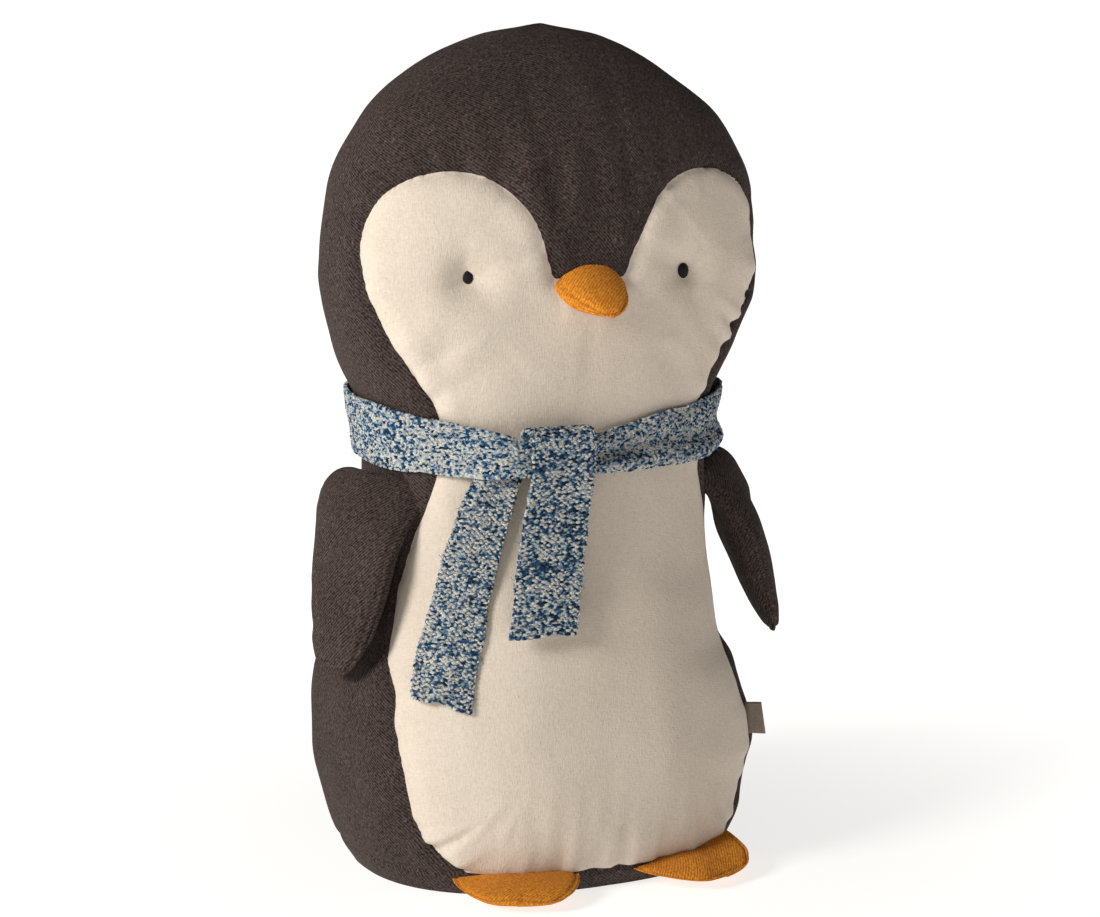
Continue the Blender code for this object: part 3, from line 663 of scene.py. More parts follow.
def outline_distance(x, z, line):
    """Signed distance to the closed outline (inside is positive), its direction, and the run along it."""
    ends = np.roll(line, -1, 0)
    spans = ends - line
    lengths = np.linalg.norm(spans, axis=1)
    run = np.concatenate([[0], np.cumsum(lengths)])[:-1]
    flat_x, flat_z = x.ravel(), z.ravel()
    best = np.full(flat_x.shape, 9.0)
    direction = np.zeros((len(flat_x), 2))
    place = np.zeros(len(flat_x))
    inside = np.zeros(len(flat_x), bool)
    for start, end, span, length, before in zip(line, ends, spans, lengths, run):
        t = np.clip(((flat_x - start[0]) * span[0] + (flat_z - start[1]) * span[1]) / length ** 2, 0, 1)
        dx, dz = flat_x - start[0] - t * span[0], flat_z - start[1] - t * span[1]
        distance = np.hypot(dx, dz)
        nearer = distance < best
        best = np.where(nearer, distance, best)
        direction[nearer] = np.stack([dx, dz], 1)[nearer] / np.maximum(distance[nearer], 1e-9)[:, None]
        place = np.where(nearer, before + t * length, place)
        crosses = (start[1] > flat_z) != (end[1] > flat_z)
        if abs(span[1]) > 1e-12:
            inside ^= crosses & (flat_x < start[0] + (flat_z - start[1]) * span[0] / span[1])
    signed = np.where(inside, best, -best)
    return signed.reshape(x.shape), direction.reshape(*x.shape, 2), place.reshape(x.shape)


def along_skin(distance, pull_x, pull_y, pull_z, normals):
    """A distance across space turned into a distance along the skin."""
    lean = pull_x * normals[..., 0] + pull_y * normals[..., 1] + pull_z * normals[..., 2]
    return distance / np.sqrt(np.clip(1 - lean ** 2, 0.05, 1))


def torso_fields(grid, normals):
    """Distances along the skin to each seam, and runs along the seams."""
    x, y, z = axes(grid)
    line = outline_polyline()
    wider = LEFT_WIDER * (x > 0) * bell(z - 0.062, 0.022)
    signed, direction, run = outline_distance(x - section(SWAY, z) - wider, z, line)
    face = along_skin(signed, direction[..., 0], 0, direction[..., 1], normals)
    face = np.where(y < 0, face, -0.2)
    base = along_skin(z - BASE_SEAM, 0, 0, 1, normals)
    base = np.where(z > 0.0005, base, -0.02)
    lean = (SIDE_SEAM[1] - SIDE_SEAM[0]) / HEIGHT
    size = math.hypot(1, lean)
    side = along_skin((y - SIDE_SEAM[0] - lean * z) / size, 0, 1 / size, -lean / size, normals)
    back = along_skin(x, 1, 0, 0, normals)
    back = np.where(y > 0, back, 0.2)
    return {"face": face, "run": run, "base": base, "side": side, "back": back}


def seam_groove(distance, depth, width):
    return -depth * np.exp(-np.abs(distance) / width)


def gathers(distance, run, pitch, reach, seed):
    """Small folds that start at a seam and fade away from it."""
    wander = 0.25 * smooth_noise(run / (pitch * 2.5), distance / 0.02, seed=seed + 5)
    folds = smooth_noise(run / pitch + wander, np.abs(distance) / 0.05, seed=seed)
    strong = 0.55 + 0.45 * smooth_noise(run / 0.045, seed=seed + 9)
    side = np.where(distance > 0, 1.0, 0.75)
    return folds * strong * side * np.exp(-np.abs(distance) / reach)


def eye_pull(x, y, z):
    """How far the eyes' thread draws the face in, with small folds that point at the eye."""
    total = np.zeros_like(x)
    for side in (-1, 1):
        dx, dz = x - side * EYE[0], z - EYE[1]
        away = np.hypot(dx, dz)
        turn = np.arctan2(dz, dx)
        folds = smooth_noise(turn * 2.2 + 40, np.full_like(turn, side * 3.0), seed=4)
        total += EYE_PULL * bell(away, 0.0092) + EYE_PINCH * np.exp(-away / 0.0035)
        total += 0.0014 * folds * np.exp(-away / 0.014) * (1 - bell(away, 0.0035))
    return np.where(y < 0, total, 0)


def uneven_filling(x, z):
    lift = np.zeros_like(x)
    for side, most, height, spread in UNEVEN_FILLING:
        lift += most * bell(z - height, spread) * (side * x > 0)
    return lift * np.clip(np.abs(x) / 0.08, 0, 1)


def face_folds(x, y, z, fields):
    """The lift of the cream panel's seam, and of the folds that start there on both of its sides."""
    face, run = fields["face"], fields["run"]
    on_dark = (face < 0) & (z > BASE_SEAM) & (y < 0)
    lift = 0.0007 * bell(np.abs(face) - 0.008, 0.004) + 0.0013 * gathers(face, run, 0.0085, 0.012, 3)
    # Longer folds run inwards from the cream panel's edge at the cheeks and the lower belly.
    pulled = 3.0 * bell(z - 0.282, 0.026) + 1.8 * bell(z - 0.030, 0.022) + 0.4
    lift += 0.0016 * pulled * gathers(face, run, 0.0065, 0.024, 83) * (face > 0)
    lift *= over_base(z)
    lift += seam_groove(face, 0.0020, 0.0020) * (z > BASE_SEAM)
    # The seam beside the label is drawn up, so the edge there goes in and out.
    drawn_up = np.exp(-np.abs(face) / 0.02) * bell(z - 0.05, 0.028) * (x > 0)
    lift += 0.0016 * smooth_noise(z / 0.012, seed=89) * drawn_up
    # The dark cloth puckers above the two lobes of the face.
    above_lobes = on_dark * bell(z - 0.375, 0.022)
    for depth, pitch, reach, seed in ((0.0020, 0.0100, 0.024, 97), (0.0040, 0.0054, 0.018, 101)):
        lift += depth * gathers(face, run, pitch, reach, seed) * above_lobes
    # Faint upright creases in the forehead, between the two lobes.
    forehead = bell(x, 0.040) * bell(z - 0.365, 0.028) * on_dark
    return lift + 0.0017 * smooth_noise(x / 0.0062 + 3, z / 0.045, seed=71) * forehead


def over_base(z):
    """0 on the flat base and 1 a little above it."""
    return np.clip((z - 0.004) / 0.010, 0, 1)


def torso_lift(grid, fields):
    """How far seams, gathers and soft lumps move the skin out along its normals."""
    x, y, z = axes(grid)
    below_crown = np.clip((HEIGHT - 0.006 - z) / 0.05, 0, 1)
    dark = ((fields["face"] < 0) & (z > BASE_SEAM)) * below_crown
    runs = {"base": np.arctan2(y, x) * 0.11, "side": z, "back": z}
    shown = {"base": over_base(z), "side": dark, "back": dark * (y > 0)}
    lift = face_folds(x, y, z, fields) + uneven_filling(x, z)
    for seam, groove, width, depth, pitch, reach, seed in BODY_SEAMS:
        away = fields[seam]
        cut_into = 1 if seam == "base" else shown[seam]
        lift += seam_groove(away, groove, width) * cut_into
        lift += depth * gathers(away, runs[seam], pitch, reach, seed) * shown[seam]
    lift += 0.0007 * smooth_noise(x / 0.032 + 7, z / 0.027 + y / 0.03, seed=61) * over_base(z)
    near_seam = np.exp(-np.minimum(np.abs(fields["face"]), np.abs(fields["base"])) / 0.012)
    lift += torso_wrinkles() * over_base(z) * (0.15 + 0.55 * near_seam)
    return lift


def torso():
    grid = torso_grid(TORSO_COLUMNS, TORSO_RINGS, BASE_RINGS)
    normals = grid_normals(grid)
    fields = torso_fields(grid, normals)
    shaped = grid + normals * torso_lift(grid, fields)[..., None]
    shaped[..., 1] += eye_pull(*axes(grid))
    shaped[..., 2] = np.maximum(shaped[..., 2], 0.0)
    made = closed_grid("torso_cloth", shaped, torso_uv(grid))
    return made, {key: flat_order(value) for key, value in fields.items()}


def torso_wrinkles():
    """Fine wrinkles of the inflated cloth, as a lift along the skin's normals."""
    rows, columns = TORSO_RINGS // COARSER + 1, TORSO_COLUMNS // COARSER
    coarse = torso_grid(columns, rows, BASE_RINGS // COARSER)
    normals = grid_normals(coarse)
    fields = torso_fields(coarse, normals)
    x, y, z = axes(coarse)
    seam = np.maximum(bell(fields["face"], 0.004), bell(fields["base"], 0.004))
    seam = np.maximum(seam, 0.6 * bell(fields["side"], 0.004) * (fields["face"] < 0))
    away = np.hypot(np.abs(x) - EYE[0], z - EYE[1])
    held = np.where((away < 0.006) & (y < 0), 1.0, 0.0)
    held = np.maximum(held, np.where(z < 0.004, 1.0, 0.0))
    moved = cloth_wrinkles(coarse, seam, held)
    lift = (moved * normals).sum(-1)
    fine = lift - blurred(lift, 14)
    fine = np.clip(blurred(fine, 1), -0.0025, 0.0025)
    return finer(fine[..., None], TORSO_RINGS, TORSO_COLUMNS)[..., 0]


def flat_order(field):
    """A grid field in the vertex order of closed_grid."""
    return np.concatenate([field[1:-1].ravel(), [field[0].mean()], [field[-1].mean()]])


def torso_uv(grid):
    """Cloth coordinates: metres to each side of the front's middle, and metres up the skin."""
    columns = grid.shape[1]
    step = np.linalg.norm(np.roll(grid, -1, 1) - grid, axis=-1)
    run = np.cumsum(step, 1) - step / 2
    past_back = np.arange(columns) >= columns // 2
    run = run - past_back * step.sum(1, keepdims=True)
    up = np.linalg.norm(np.diff(grid, axis=0), axis=-1)
    rise = np.concatenate([np.zeros((1, columns)), np.cumsum(up, 0)])
    return np.stack([run, rise], -1)


def split_at(piece, values, attribute):
    """Cut every edge where a field changes sign, so a seam runs along real edges."""
    work = bmesh.new()
    work.from_mesh(piece.data)
    layer = work.verts.layers.float.new(attribute)
    work.verts.ensure_lookup_table()
    for vert, value in zip(work.verts, values):
        vert[layer] = value if abs(value) > 1e-7 else 1e-7
    for edge in list(work.edges):
        first, second = edge.verts
        a, b = first[layer], second[layer]
        if a * b >= 0 or abs(a) > 0.05 or abs(b) > 0.05:
            continue
        fac = min(max(a / (a - b), 0.02), 0.98)
        _, vert = bmesh.utils.edge_split(edge, first, fac)
        vert[layer] = 0.0
    for face in list(work.faces):
        cut_here = [vert for vert in face.verts if vert[layer] == 0.0]
        if len(cut_here) == 2:
            a, b = cut_here
            if not any(b in edge.verts for edge in a.link_edges):
                bmesh.utils.face_split(face, a, b)
    work.normal_update()
    work.to_mesh(piece.data)
    work.free()


def sign_of_faces(piece, attribute):
    """True for each face that lies on the field's positive side."""
    values = np.empty(len(piece.data.vertices))
    piece.data.attributes[attribute].data.foreach_get("value", values)
    return np.array([values[list(face.vertices)].sum() > 0 for face in piece.data.polygons])


def make_torso():
    whole, fields = torso()
    outside = -np.abs(fields["base"]) - 0.0001
    inside = np.minimum(fields["face"], fields["base"])
    split_at(whole, np.where(fields["base"] > 0, inside, outside), "face")
    wear(whole, CHARCOAL, CREAM)
    whole.data.polygons.foreach_set("material_index", sign_of_faces(whole, "face").astype(np.int32))
    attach(whole, "torso")
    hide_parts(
        "face_belly_panel", "forehead_side_panel", "back_panel_left", "back_panel_right",
        "base_panel", "body_fill", "pellet_bag", "pellet_fill", "eye_pull_thread",
    )


# ---------------------------------------------------------------- stuffed limbs
def blunt(along, start, power):
    """A half wave that starts part of the way up, so that one end is blunt."""
    return np.sin(math.pi * (start + (1 - start) * along)) ** power


def rounded_start(along, reach, least):
    """From least to 1 as a quarter circle over the first part of a length, and 1 after it."""
    share = np.clip(along / reach, 0, 1)
    return least + (1 - least) * np.sqrt(1 - (1 - share) ** 2)


def limb_grid(length, width_at, thickness_at):
    """A flat stuffed form along local -Z, width along X. Two cushions meet in a thin edge."""
    share = (1 - np.cos(np.linspace(0, math.pi, LIMB_ROWS))) / 2
    angle = np.arange(LIMB_COLUMNS) * 2 * math.pi / LIMB_COLUMNS
    width = width_at(share)
    thick = thickness_at(share)
    width[0] = width[-1] = thick[0] = thick[-1] = 0
    across = np.cos(angle)
    through = signed_power(np.sin(angle), LIMB_EDGE_POWER)
    x = width[:, None] / 2 * across[None, :]
    y = thick[:, None] / 2 * through[None, :]
    z = np.repeat(-length * share[:, None], LIMB_COLUMNS, 1)
    return np.stack([x, y, z], -1)


def move_grid(grid, matrix):
    turn = np.array(matrix.to_3x3())
    return grid @ turn.T + np.array(matrix.translation)


def make_limb(name, place, length, width_at, thickness_at, shape, material, seed, folds, groove):
    """One stuffed limb with its edge seam and its own small folds. folds and groove are their depths."""
    grid = limb_grid(length, width_at, thickness_at)
    x, y, z = axes(grid)
    half_width = np.maximum(np.abs(x).max(1, keepdims=True), 1e-6)
    from_tip = length + z
    to_edge = np.minimum(half_width - np.abs(x), from_tip)
    seam = np.hypot(np.abs(y), np.minimum(to_edge, 0.02) * 0.5)
    run = np.where(x > 0, -z, z)
    side = np.where(y > 0, 0.0, 50.0)
    lift = -groove * np.exp(-seam / 0.0013)
    # A line of stitches runs just inside the edge.
    lift -= 0.80 * groove * bell(to_edge - HEM, 0.0006) * (from_tip < length * 0.9)
    lift += folds * smooth_noise(run / 0.0075 + side, seam / 0.02, seed=seed) * np.exp(-seam / 0.006)
    lumps = smooth_noise(x / 0.016 + side, z / 0.021, seed=seed + 7)
    lift += folds * 0.9 * lumps * np.clip(np.abs(y) / 0.003, 0, 1)
    # A limb's rings run the other way round than grid_normals expects.
    shaped = shape(grid - grid_normals(grid) * lift[..., None])
    uv = np.stack([np.where(y > 0, x, UNDERSIDE - x), z], -1)
    made = closed_grid(name, move_grid(shaped, place)[:, ::-1], uv[:, ::-1])
    return wear(made, material)


def wing_width(along):
    """Rounded shoulders, nearly straight sides and a rounded, narrower tip."""
    return WING_WIDTH * (1 - 0.25 * along) * blunt(along, 0.40, 0.30) * rounded_start(along, 0.15, 0.50)


def wing_thickness(along):
    return WING_THICKNESS * blunt(along, 0.20, 0.50) * rounded_start(along, 0.10, 0.45)


def wing_shape(side):
    """The wing's upper front corner is sewn down on to the body, and a soft fold crosses the shoulder."""
    def shape(points):
        bent = np.array(points, float)
        front = -side * bent[..., 0] / (WING_WIDTH / 2)
        along = -bent[..., 2] / WING_LENGTH
        near_top = np.clip(1 - along / 0.42, 0, 1)
        ahead = np.clip(front, 0, 1.2)
        bent[..., 1] += 0.020 * ahead ** 1.3 * near_top ** 1.2 - 0.0030 * np.clip(along * 4, 0, 1)
        bent[..., 0] *= 1 - ahead * (0.16 * bell(along - 0.30, 0.30) + 0.14 * near_top)
        crease = bell(front - 0.9 + 2.6 * along, 0.16) * bell(along - 0.40, 0.16)
        bent[..., 1] += 0.0016 * crease
        return bent
    return shape


def make_wings():
    for word, side in (("left", 1), ("right", -1)):
        root = Vector((side * WING_ROOT[0], *WING_ROOT[1:]))
        turn = Matrix.Rotation(side * (math.pi / 2 - WING_YAW), 4, "Z")
        raise_up = Matrix.Rotation(-WING_LIFT[word], 4, "X")
        place = Matrix.Translation(root) @ turn @ raise_up
        wing = make_limb(
            f"wing_{word}_cloth", place, WING_LENGTH, wing_width, wing_thickness, wing_shape(side),
            CHARCOAL, seed=70 + side, folds=0.0009, groove=0.0018,
        )
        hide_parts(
            f"wing_{word}_outer_panel", f"wing_{word}_inner_panel", f"wing_{word}_fill"
        )
        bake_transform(wing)


def foot_width(along):
    return FOOT_WIDTH * blunt(along, 0.35, 0.30)


def foot_thickness(along):
    return FOOT_THICKNESS * blunt(along, 0.15, 0.5)


def foot_shape(rise, corner):
    """A bend for one foot: the end on its +X side lifts and squares off, the other comes to a point."""
    def shape(points):
        bent = np.array(points, float)
        out = bent[..., 0] / (FOOT_WIDTH / 2)
        along = -bent[..., 2] / FOOT_LENGTH
        square_end = np.clip((out - 0.15) / 0.85, 0, 1) ** 1.5
        pointed_end = np.clip((-out - 0.30) / 0.70, 0, 1)
        bent[..., 1] -= rise * square_end * (1.2 - 0.6 * along)
        bent[..., 2] -= corner * square_end * np.clip(along, 0, 1)
        bent[..., 2] += 0.010 * pointed_end ** 1.5 * np.clip(along, 0, 1)
        bent[..., 1] *= 1 - 0.45 * pointed_end
        bent[..., 0] -= 0.0020 * square_end
        return bent
    return shape


def make_feet():
    for word, side in (("left", 1), ("right", -1)):
        x, y, z = FOOT_ROOT
        turn = Matrix.Rotation(side * FOOT_SPLAY, 4, "Z")
        flat = Matrix.Rotation(-math.pi / 2 + FOOT_TILT, 4, "X")
        place = Matrix.Translation((side * x, y, z)) @ turn @ flat
        rise, corner = FOOT_BEND[word]
        foot = make_limb(
            f"foot_{word}_cloth", place, FOOT_LENGTH, foot_width, foot_thickness,
            foot_shape(rise, corner), OCHRE, seed=90 + side, folds=0.0009, groove=0.0010,
        )
        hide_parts(f"foot_{word}_upper", f"foot_{word}_sole", f"foot_{word}_fill")
        seam = Vector((side * x, front_at(x, z), z))
        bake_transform(foot)


def beak_width(along):
    return BEAK_WIDTH * BEAK_NARROWED * blunt(along, 0.30, 0.6)


def beak_thickness(along):
    return BEAK_THICKNESS * blunt(along, 0.40, 0.9)


def beak_shape(points):
    """The side seam of the beak droops at its corners, more on the penguin's right."""
    bent = np.array(points, float)
    out = bent[..., 0] / (BEAK_WIDTH / 2)
    right = np.clip(-out, 0, 1)
    along = -bent[..., 2] / BEAK_LENGTH
    bent[..., 0] += 0.0022 * along ** 2 - 0.0016 * right ** 3
    bent[..., 1] += 0.0030 * right ** 3 + 0.0012 * np.clip(out, 0, 1) ** 3
    bent[..., 2] *= BEAK_SHORTENED
    bent[..., 1] *= 1 - 0.35 * right ** 4
    return bent


def make_beak():
    flat = Matrix.Rotation(-math.pi / 2 + BEAK_DROOP, 4, "X")
    place = Matrix.Translation(BEAK_ROOT) @ flat
    beak = make_limb(
        "beak_cloth", place, BEAK_LENGTH, beak_width, beak_thickness, beak_shape,
        OCHRE, seed=120, folds=0.0008, groove=0.0010,
    )
    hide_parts("beak_upper_panel", "beak_lower_panel", "beak_fill")
    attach(beak, "torso")


def make_eyes():
    """Two small satin-stitched eyes that sit at the bottom of their dimples."""
    material = eye_thread()
    for word, side in (("left", 1), ("right", -1)):
        x, z = side * EYE[0], EYE[1]
        y = front_at(x, z) + EYE_PULL + EYE_PINCH
        work = bmesh.new()
        bmesh.ops.create_uvsphere(work, u_segments=40, v_segments=24, radius=1)
        for vert in work.verts:
            ridge = 1 + 0.03 * math.cos(16 * math.atan2(vert.co.z, vert.co.x))
            size = (EYE_HALF[0] * ridge, EYE_HALF[1], EYE_HALF[2] * ridge)
            vert.co = Vector((a * b for a, b in zip(vert.co, size))) + Vector((x, y - EYE_RISE, z))
        mesh = bpy.data.meshes.new(f"eye_{word}_thread")
        work.to_mesh(mesh)
        work.free()
        mesh.shade_smooth()
        eye = wear(linked(f"eye_{word}_thread", mesh), material)
        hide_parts(f"eye_{word}")
        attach(eye, "torso")


# ---------------------------------------------------------------- scarf
def band_edges(angle):
    """The heights of the neck band's lower and upper edges."""
    behind = (1 + np.sin(angle + KNOT_TURN)) / 2
    behind = np.maximum(behind - KNOT_FLAT_SHARE, 0) / (1 - KNOT_FLAT_SHARE)
    low = LOW_EDGE[0] + (LOW_EDGE[1] - LOW_EDGE[0]) * behind
    high = HIGH_EDGE[0] + (HIGH_EDGE[1] - HIGH_EDGE[0]) * behind ** RISE_POWER
    return low + 0.0009 * around_noise(angle, 5.5, 15), high + 0.0010 * around_noise(angle, 5.0, 16)


def skin_outward(skin):
    """The level direction straight out of the body at points of its skin."""
    x, y, height = axes(skin)
    depth = np.where(y < 0, section(FRONT, height), section(BACK, height))
    width = section(WIDTH, height)
    return unit(np.stack([
        signed_power((x - section(SWAY, height)) / width, BODY_POWER - 1) / width,
        signed_power(y / depth, BODY_POWER - 1) / depth,
        np.zeros_like(height),
    ], -1))


def band_folds(angle, x, y, along):
    """How far the gathered band stands out in soft lengthwise folds and rolls."""
    # The folds are deepest beside the knot.
    gathered = 0.35 + 0.65 * np.exp(-((x - KNOT_X) / 0.055) ** 2) * (y < 0)
    folds = np.sin(2 * math.pi * (along * 1.6 + 0.35 * around_noise(angle, 1.4, 5)))
    lift = 0.0011 * gathered * folds - 0.0016 * (2 * along - 1) ** 4
    # To the penguin's left of the knot the lower edge is rolled outwards, with a hollow above it.
    rolled = np.clip((x - KNOT_X - 0.015) / 0.02, 0, 1) * np.clip(1 - y / 0.03, 0, 1)
    lift += rolled * (0.0030 * bell(along - 0.16, 0.10) - 0.0018 * bell(along - 0.50, 0.16))
    lift += 0.0026 * bell(along - 0.32, 0.22) * np.clip((x - 0.055) / 0.035, 0, 1)
    return lift + 0.0005 * around_noise(angle, 8.0, 19) * np.sin(math.pi * along)


def band_centre(across, along):
    """The neck band's middle surface. across goes round the neck, along goes up its width."""
    angle = 2 * math.pi * across
    low, high = band_edges(angle)
    height = low + (high - low) * along
    skin = body_surface(angle, height)
    x, y, _ = axes(skin)
    near_knot = np.exp(-((x - KNOT_X) / KNOT_SPREAD) ** 4)
    curved = body_front(x, height) - body_front(np.full_like(height, KNOT_X), height)
    standoff = NECK_GAP + np.where(y > 0, 0, (KNOT_STANDOFF + curved) * near_knot)
    slack = np.maximum(section(WIDTH, low), section(WIDTH, height)) - section(WIDTH, height)
    away = standoff + KNIT / 2 + slack + BAND_LOOSE + band_folds(angle, x, y, along)
    return skin + skin_outward(skin) * away[..., None]


def around_noise(angle, pitch, seed):
    """Smooth noise that joins up with itself once round the neck."""
    return smooth_noise(np.cos(angle) * pitch + 20, np.sin(angle) * pitch + 20, seed=seed)


def tail_surface(across, along, tail):
    """A hanging tail's middle surface, which partly follows the curve of the belly."""
    top, end, width, standoff, follow, slant = tail
    x_mid = top[0] + (end[0] - top[0]) * along
    height = top[1] + (end[1] - top[1]) * along
    run, fall = end[0] - top[0], end[1] - top[1]
    length = math.hypot(run, fall)
    sideways = width * (across - 0.5)
    x = x_mid - sideways * fall / length
    z = height + slant * along * sideways * run / length
    away = standoff[0] + (standoff[1] - standoff[0]) * along
    y = follow * body_front(x, z) + (1 - follow) * body_front(x_mid, height) - away - KNIT / 2
    return np.stack([x, y, z], -1)


def crumple(points, across, along, seed):
    """A knitted tail is never flat: its edges wander, it waves, and its end is uneven."""
    loose = np.clip((along - 0.12) / 0.2, 0, 1)
    points[..., 0] += 0.0011 * loose * smooth_noise(along * 9, across * 1.4, seed=seed)
    points[..., 1] -= 0.0009 * loose * (0.4 + smooth_noise(along * 6, across * 2.6, seed=seed + 1))
    points[..., 2] += 0.0013 * along ** 3 * smooth_noise(across * 4.5, seed=seed + 2)
    return points


def resample(path, count):
    """Evenly spaced points along a path."""
    run = np.concatenate([[0], np.cumsum(np.linalg.norm(np.diff(path, axis=0), axis=1))])
    at = np.linspace(0, run[-1], count)
    return np.stack([np.interp(at, run, path[:, k]) for k in range(path.shape[1])], 1)


def knot_line(y, z):
    """Points above the knot's x."""
    return np.stack([np.full_like(z, KNOT_X), y + np.zeros_like(z), z], 1)


def front_path():
    """The middle line of the front strip: up behind the band, over it, and down in front."""
    drop = tail_surface(np.full(60, 0.5), np.linspace(0, 1, 60), FRONT_TAIL)
    inner = front_at(KNOT_X, KNOT_START) - NECK_GAP - KNIT / 2
    outer = front_at(KNOT_X, LOW_EDGE[0]) - NECK_GAP - KNOT_STANDOFF - 1.5 * KNIT - KNOT_GAP
    middle, half = (inner + outer) / 2, (inner - outer) / 2
    bend = KNOT_TOP - half - KNIT / 2
    turn = np.linspace(0, math.pi, 24)[1:]
    rise = knot_line(inner, np.linspace(KNOT_START, bend, 8))
    over = knot_line(middle + half * np.cos(turn), bend + half * np.sin(turn))
    down = knot_line(outer, np.linspace(bend, KNOT_END, 7)[1:])
    # The fold runs on into the tail a little below the tail's top.
    smooth = resample(np.vstack([rise, over, down, drop[6:]]), FRONT_STEPS)
    for _ in range(30):
        smooth[1:-1] = (smooth[:-2] + 2 * smooth[1:-1] + smooth[2:]) / 4
    return smooth


FRONT_PATH = front_path()


def front_strip(across, along):
    """The knot's fold over the band, which carries on downwards as the front tail."""
    at = along * (FRONT_STEPS - 1)
    steps = np.arange(FRONT_STEPS)
    centre = np.stack([np.interp(at, steps, FRONT_PATH[:, k]) for k in range(3)], -1)
    height = centre[..., 2]
    top, end = FRONT_TAIL[0][1], FRONT_TAIL[1][1]
    hang = np.clip((top - height) / (top - end), 0, 1)
    width = KNOT_WIDTH * (1.03 - 0.03 * bell(height - 0.216, 0.005) + 0.02 * hang)
    x = centre[..., 0] + width * (across - 0.52)
    wrap = 0.4 * hang * (body_front(x, height) - body_front(centre[..., 0], height))
    points = np.stack([x, centre[..., 1] + wrap, height], -1)
    return crumple(points, across, hang, 131)


def side_strip(across, along):
    """The side tail, gathered at the top, with a short end that goes up behind the band."""
    share = (along - SIDE_HIDDEN) / (1 - SIDE_HIDDEN)
    down = np.maximum(share, 0)
    narrow = 1 - 0.08 * np.exp(-down / 0.10)
    hung = tail_surface(0.5 + (across - 0.5) * narrow, down, SIDE_TAIL)
    hung[..., 0] += 0.0030 * np.exp(-down / 0.09)
    pleat = np.sin(across * 2.4 * math.pi) * np.exp(-down / 0.18)
    hung[..., 1] -= 0.0008 * pleat
    hung[..., 2] += np.maximum(-share, 0) * SIDE_TAIL_LENGTH
    return crumple(hung, across, down, 137)


def surface_frame(surface, across, along):
    """Points and unit normals of a strip's surface."""
    step = 1e-3
    point = surface(across, along)
    du = surface(across + step, along) - surface(across - step, along)
    inner = np.clip(along, step, 1 - step)
    dv = surface(across, inner + step) - surface(across, inner - step)
    return point, unit(np.cross(du, dv))


def rings_round(centre, side, other, radius, sides):
    """A ring of points round each point of a line. side and other are two directions across it."""
    turn = np.arange(sides)[:, None] * 2 * math.pi / sides
    ring = np.cos(turn) * side[..., None, :] + np.sin(turn) * other[..., None, :]
    return centre[..., None, :] + ring * radius[..., None, None]


def yarn_path(surface, wales, courses, radius, closed, seed):
    """The middle line of every course's yarn, the strip's normals there, and the yarn's radius."""
    t = np.linspace(0, 2 * math.pi * wales, wales * YARN_SAMPLES + 1)
    share = t / (2 * math.pi * wales)
    sway = 1.55 * np.sin(2 * t) / (2 * math.pi * wales)
    sway = sway * np.clip(np.minimum(share, 1 - share) * wales * 2, 0, 1)
    course = np.arange(courses)[:, None]

    def uneven(pace, pitch, number):
        """Noise that goes on along a course and is unlike the next course's."""
        places = np.broadcast_arrays(course * pace, t * pitch)
        return smooth_noise(*places, seed=seed + number)

    along = (course + 0.5 - 0.80 * np.cos(t) + 0.10 * uneven(0.9, 0.35, 0)) / courses
    across = np.clip(share + sway, 0.0, 1.0) + 0.10 / wales * uneven(1.7, 0.8, 1)
    if closed:
        # The courses follow one another round the neck, so the loops lie sideways.
        across, along = along, across
    else:
        along = np.clip(along, 0, 1)
    point, normal = surface_frame(surface, across, along)
    depth = radius * (0.2 - 0.55 * np.cos(2 * t) + 0.25 * uneven(2.3, 1.1, 2))
    return point + normal * depth[..., None], normal, radius * (1 + 0.12 * uneven(3.1, 1.3, 3))


def yarn_uv(centre):
    """Cloth coordinates of each corner of each quad: metres along the yarn, and turns round it."""
    courses, count = centre.shape[:2]
    length = np.cumsum(np.linalg.norm(np.diff(centre, axis=1), axis=-1), 1)
    length = np.concatenate([np.zeros((courses, 1)), length], 1)
    # Each course starts at another place of the marl's pattern.
    length = length + (np.arange(courses) * 0.137)[:, None]
    u = np.repeat(length[:, :, None], YARN_SIDES + 1, 2)
    v = np.broadcast_to(np.arange(YARN_SIDES + 1) / YARN_SIDES, u.shape)
    uv = np.stack([u, v], -1)
    k, s = np.meshgrid(np.arange(count - 1), np.arange(YARN_SIDES), indexing="ij")
    k, s = k.ravel(), s.ravel()
    return np.stack([uv[:, k, s], uv[:, k, s + 1], uv[:, k + 1, s + 1], uv[:, k + 1, s]], 2)


def knit_yarn(name, surface, wales, courses, radius, closed, seed, yarn):
    """Stocking stitch: one looping yarn for each course, and each course through the one before.

    wales are the columns of loops across the strip, courses the rows along it.
    """
    centre, normal, fat = yarn_path(surface, wales, courses, radius, closed, seed)
    tangent = unit(np.gradient(centre, axis=1))
    side = unit(np.cross(tangent, normal))
    tube = rings_round(centre, side, np.cross(side, tangent), fat, YARN_SIDES)
    count = centre.shape[1]
    first = np.arange(courses) * count * YARN_SIDES
    quads = (grid_faces(count, YARN_SIDES, True)[None] + first[:, None, None]).reshape(-1, 4)
    made = mesh_object(name, tube.reshape(-1, 3), quads, yarn_uv(centre))
    cap_ends(made)
    return wear(made, yarn)


def cap_ends(piece):
    """Close both ends of every yarn."""
    work = bmesh.new()
    work.from_mesh(piece.data)
    edges = [edge for edge in work.edges if edge.is_boundary]
    bmesh.ops.holes_fill(work, edges=edges, sides=YARN_SIDES)
    bmesh.ops.recalc_face_normals(work, faces=work.faces)
    for face in work.faces:
        face.smooth = True
    work.to_mesh(piece.data)
    work.free()


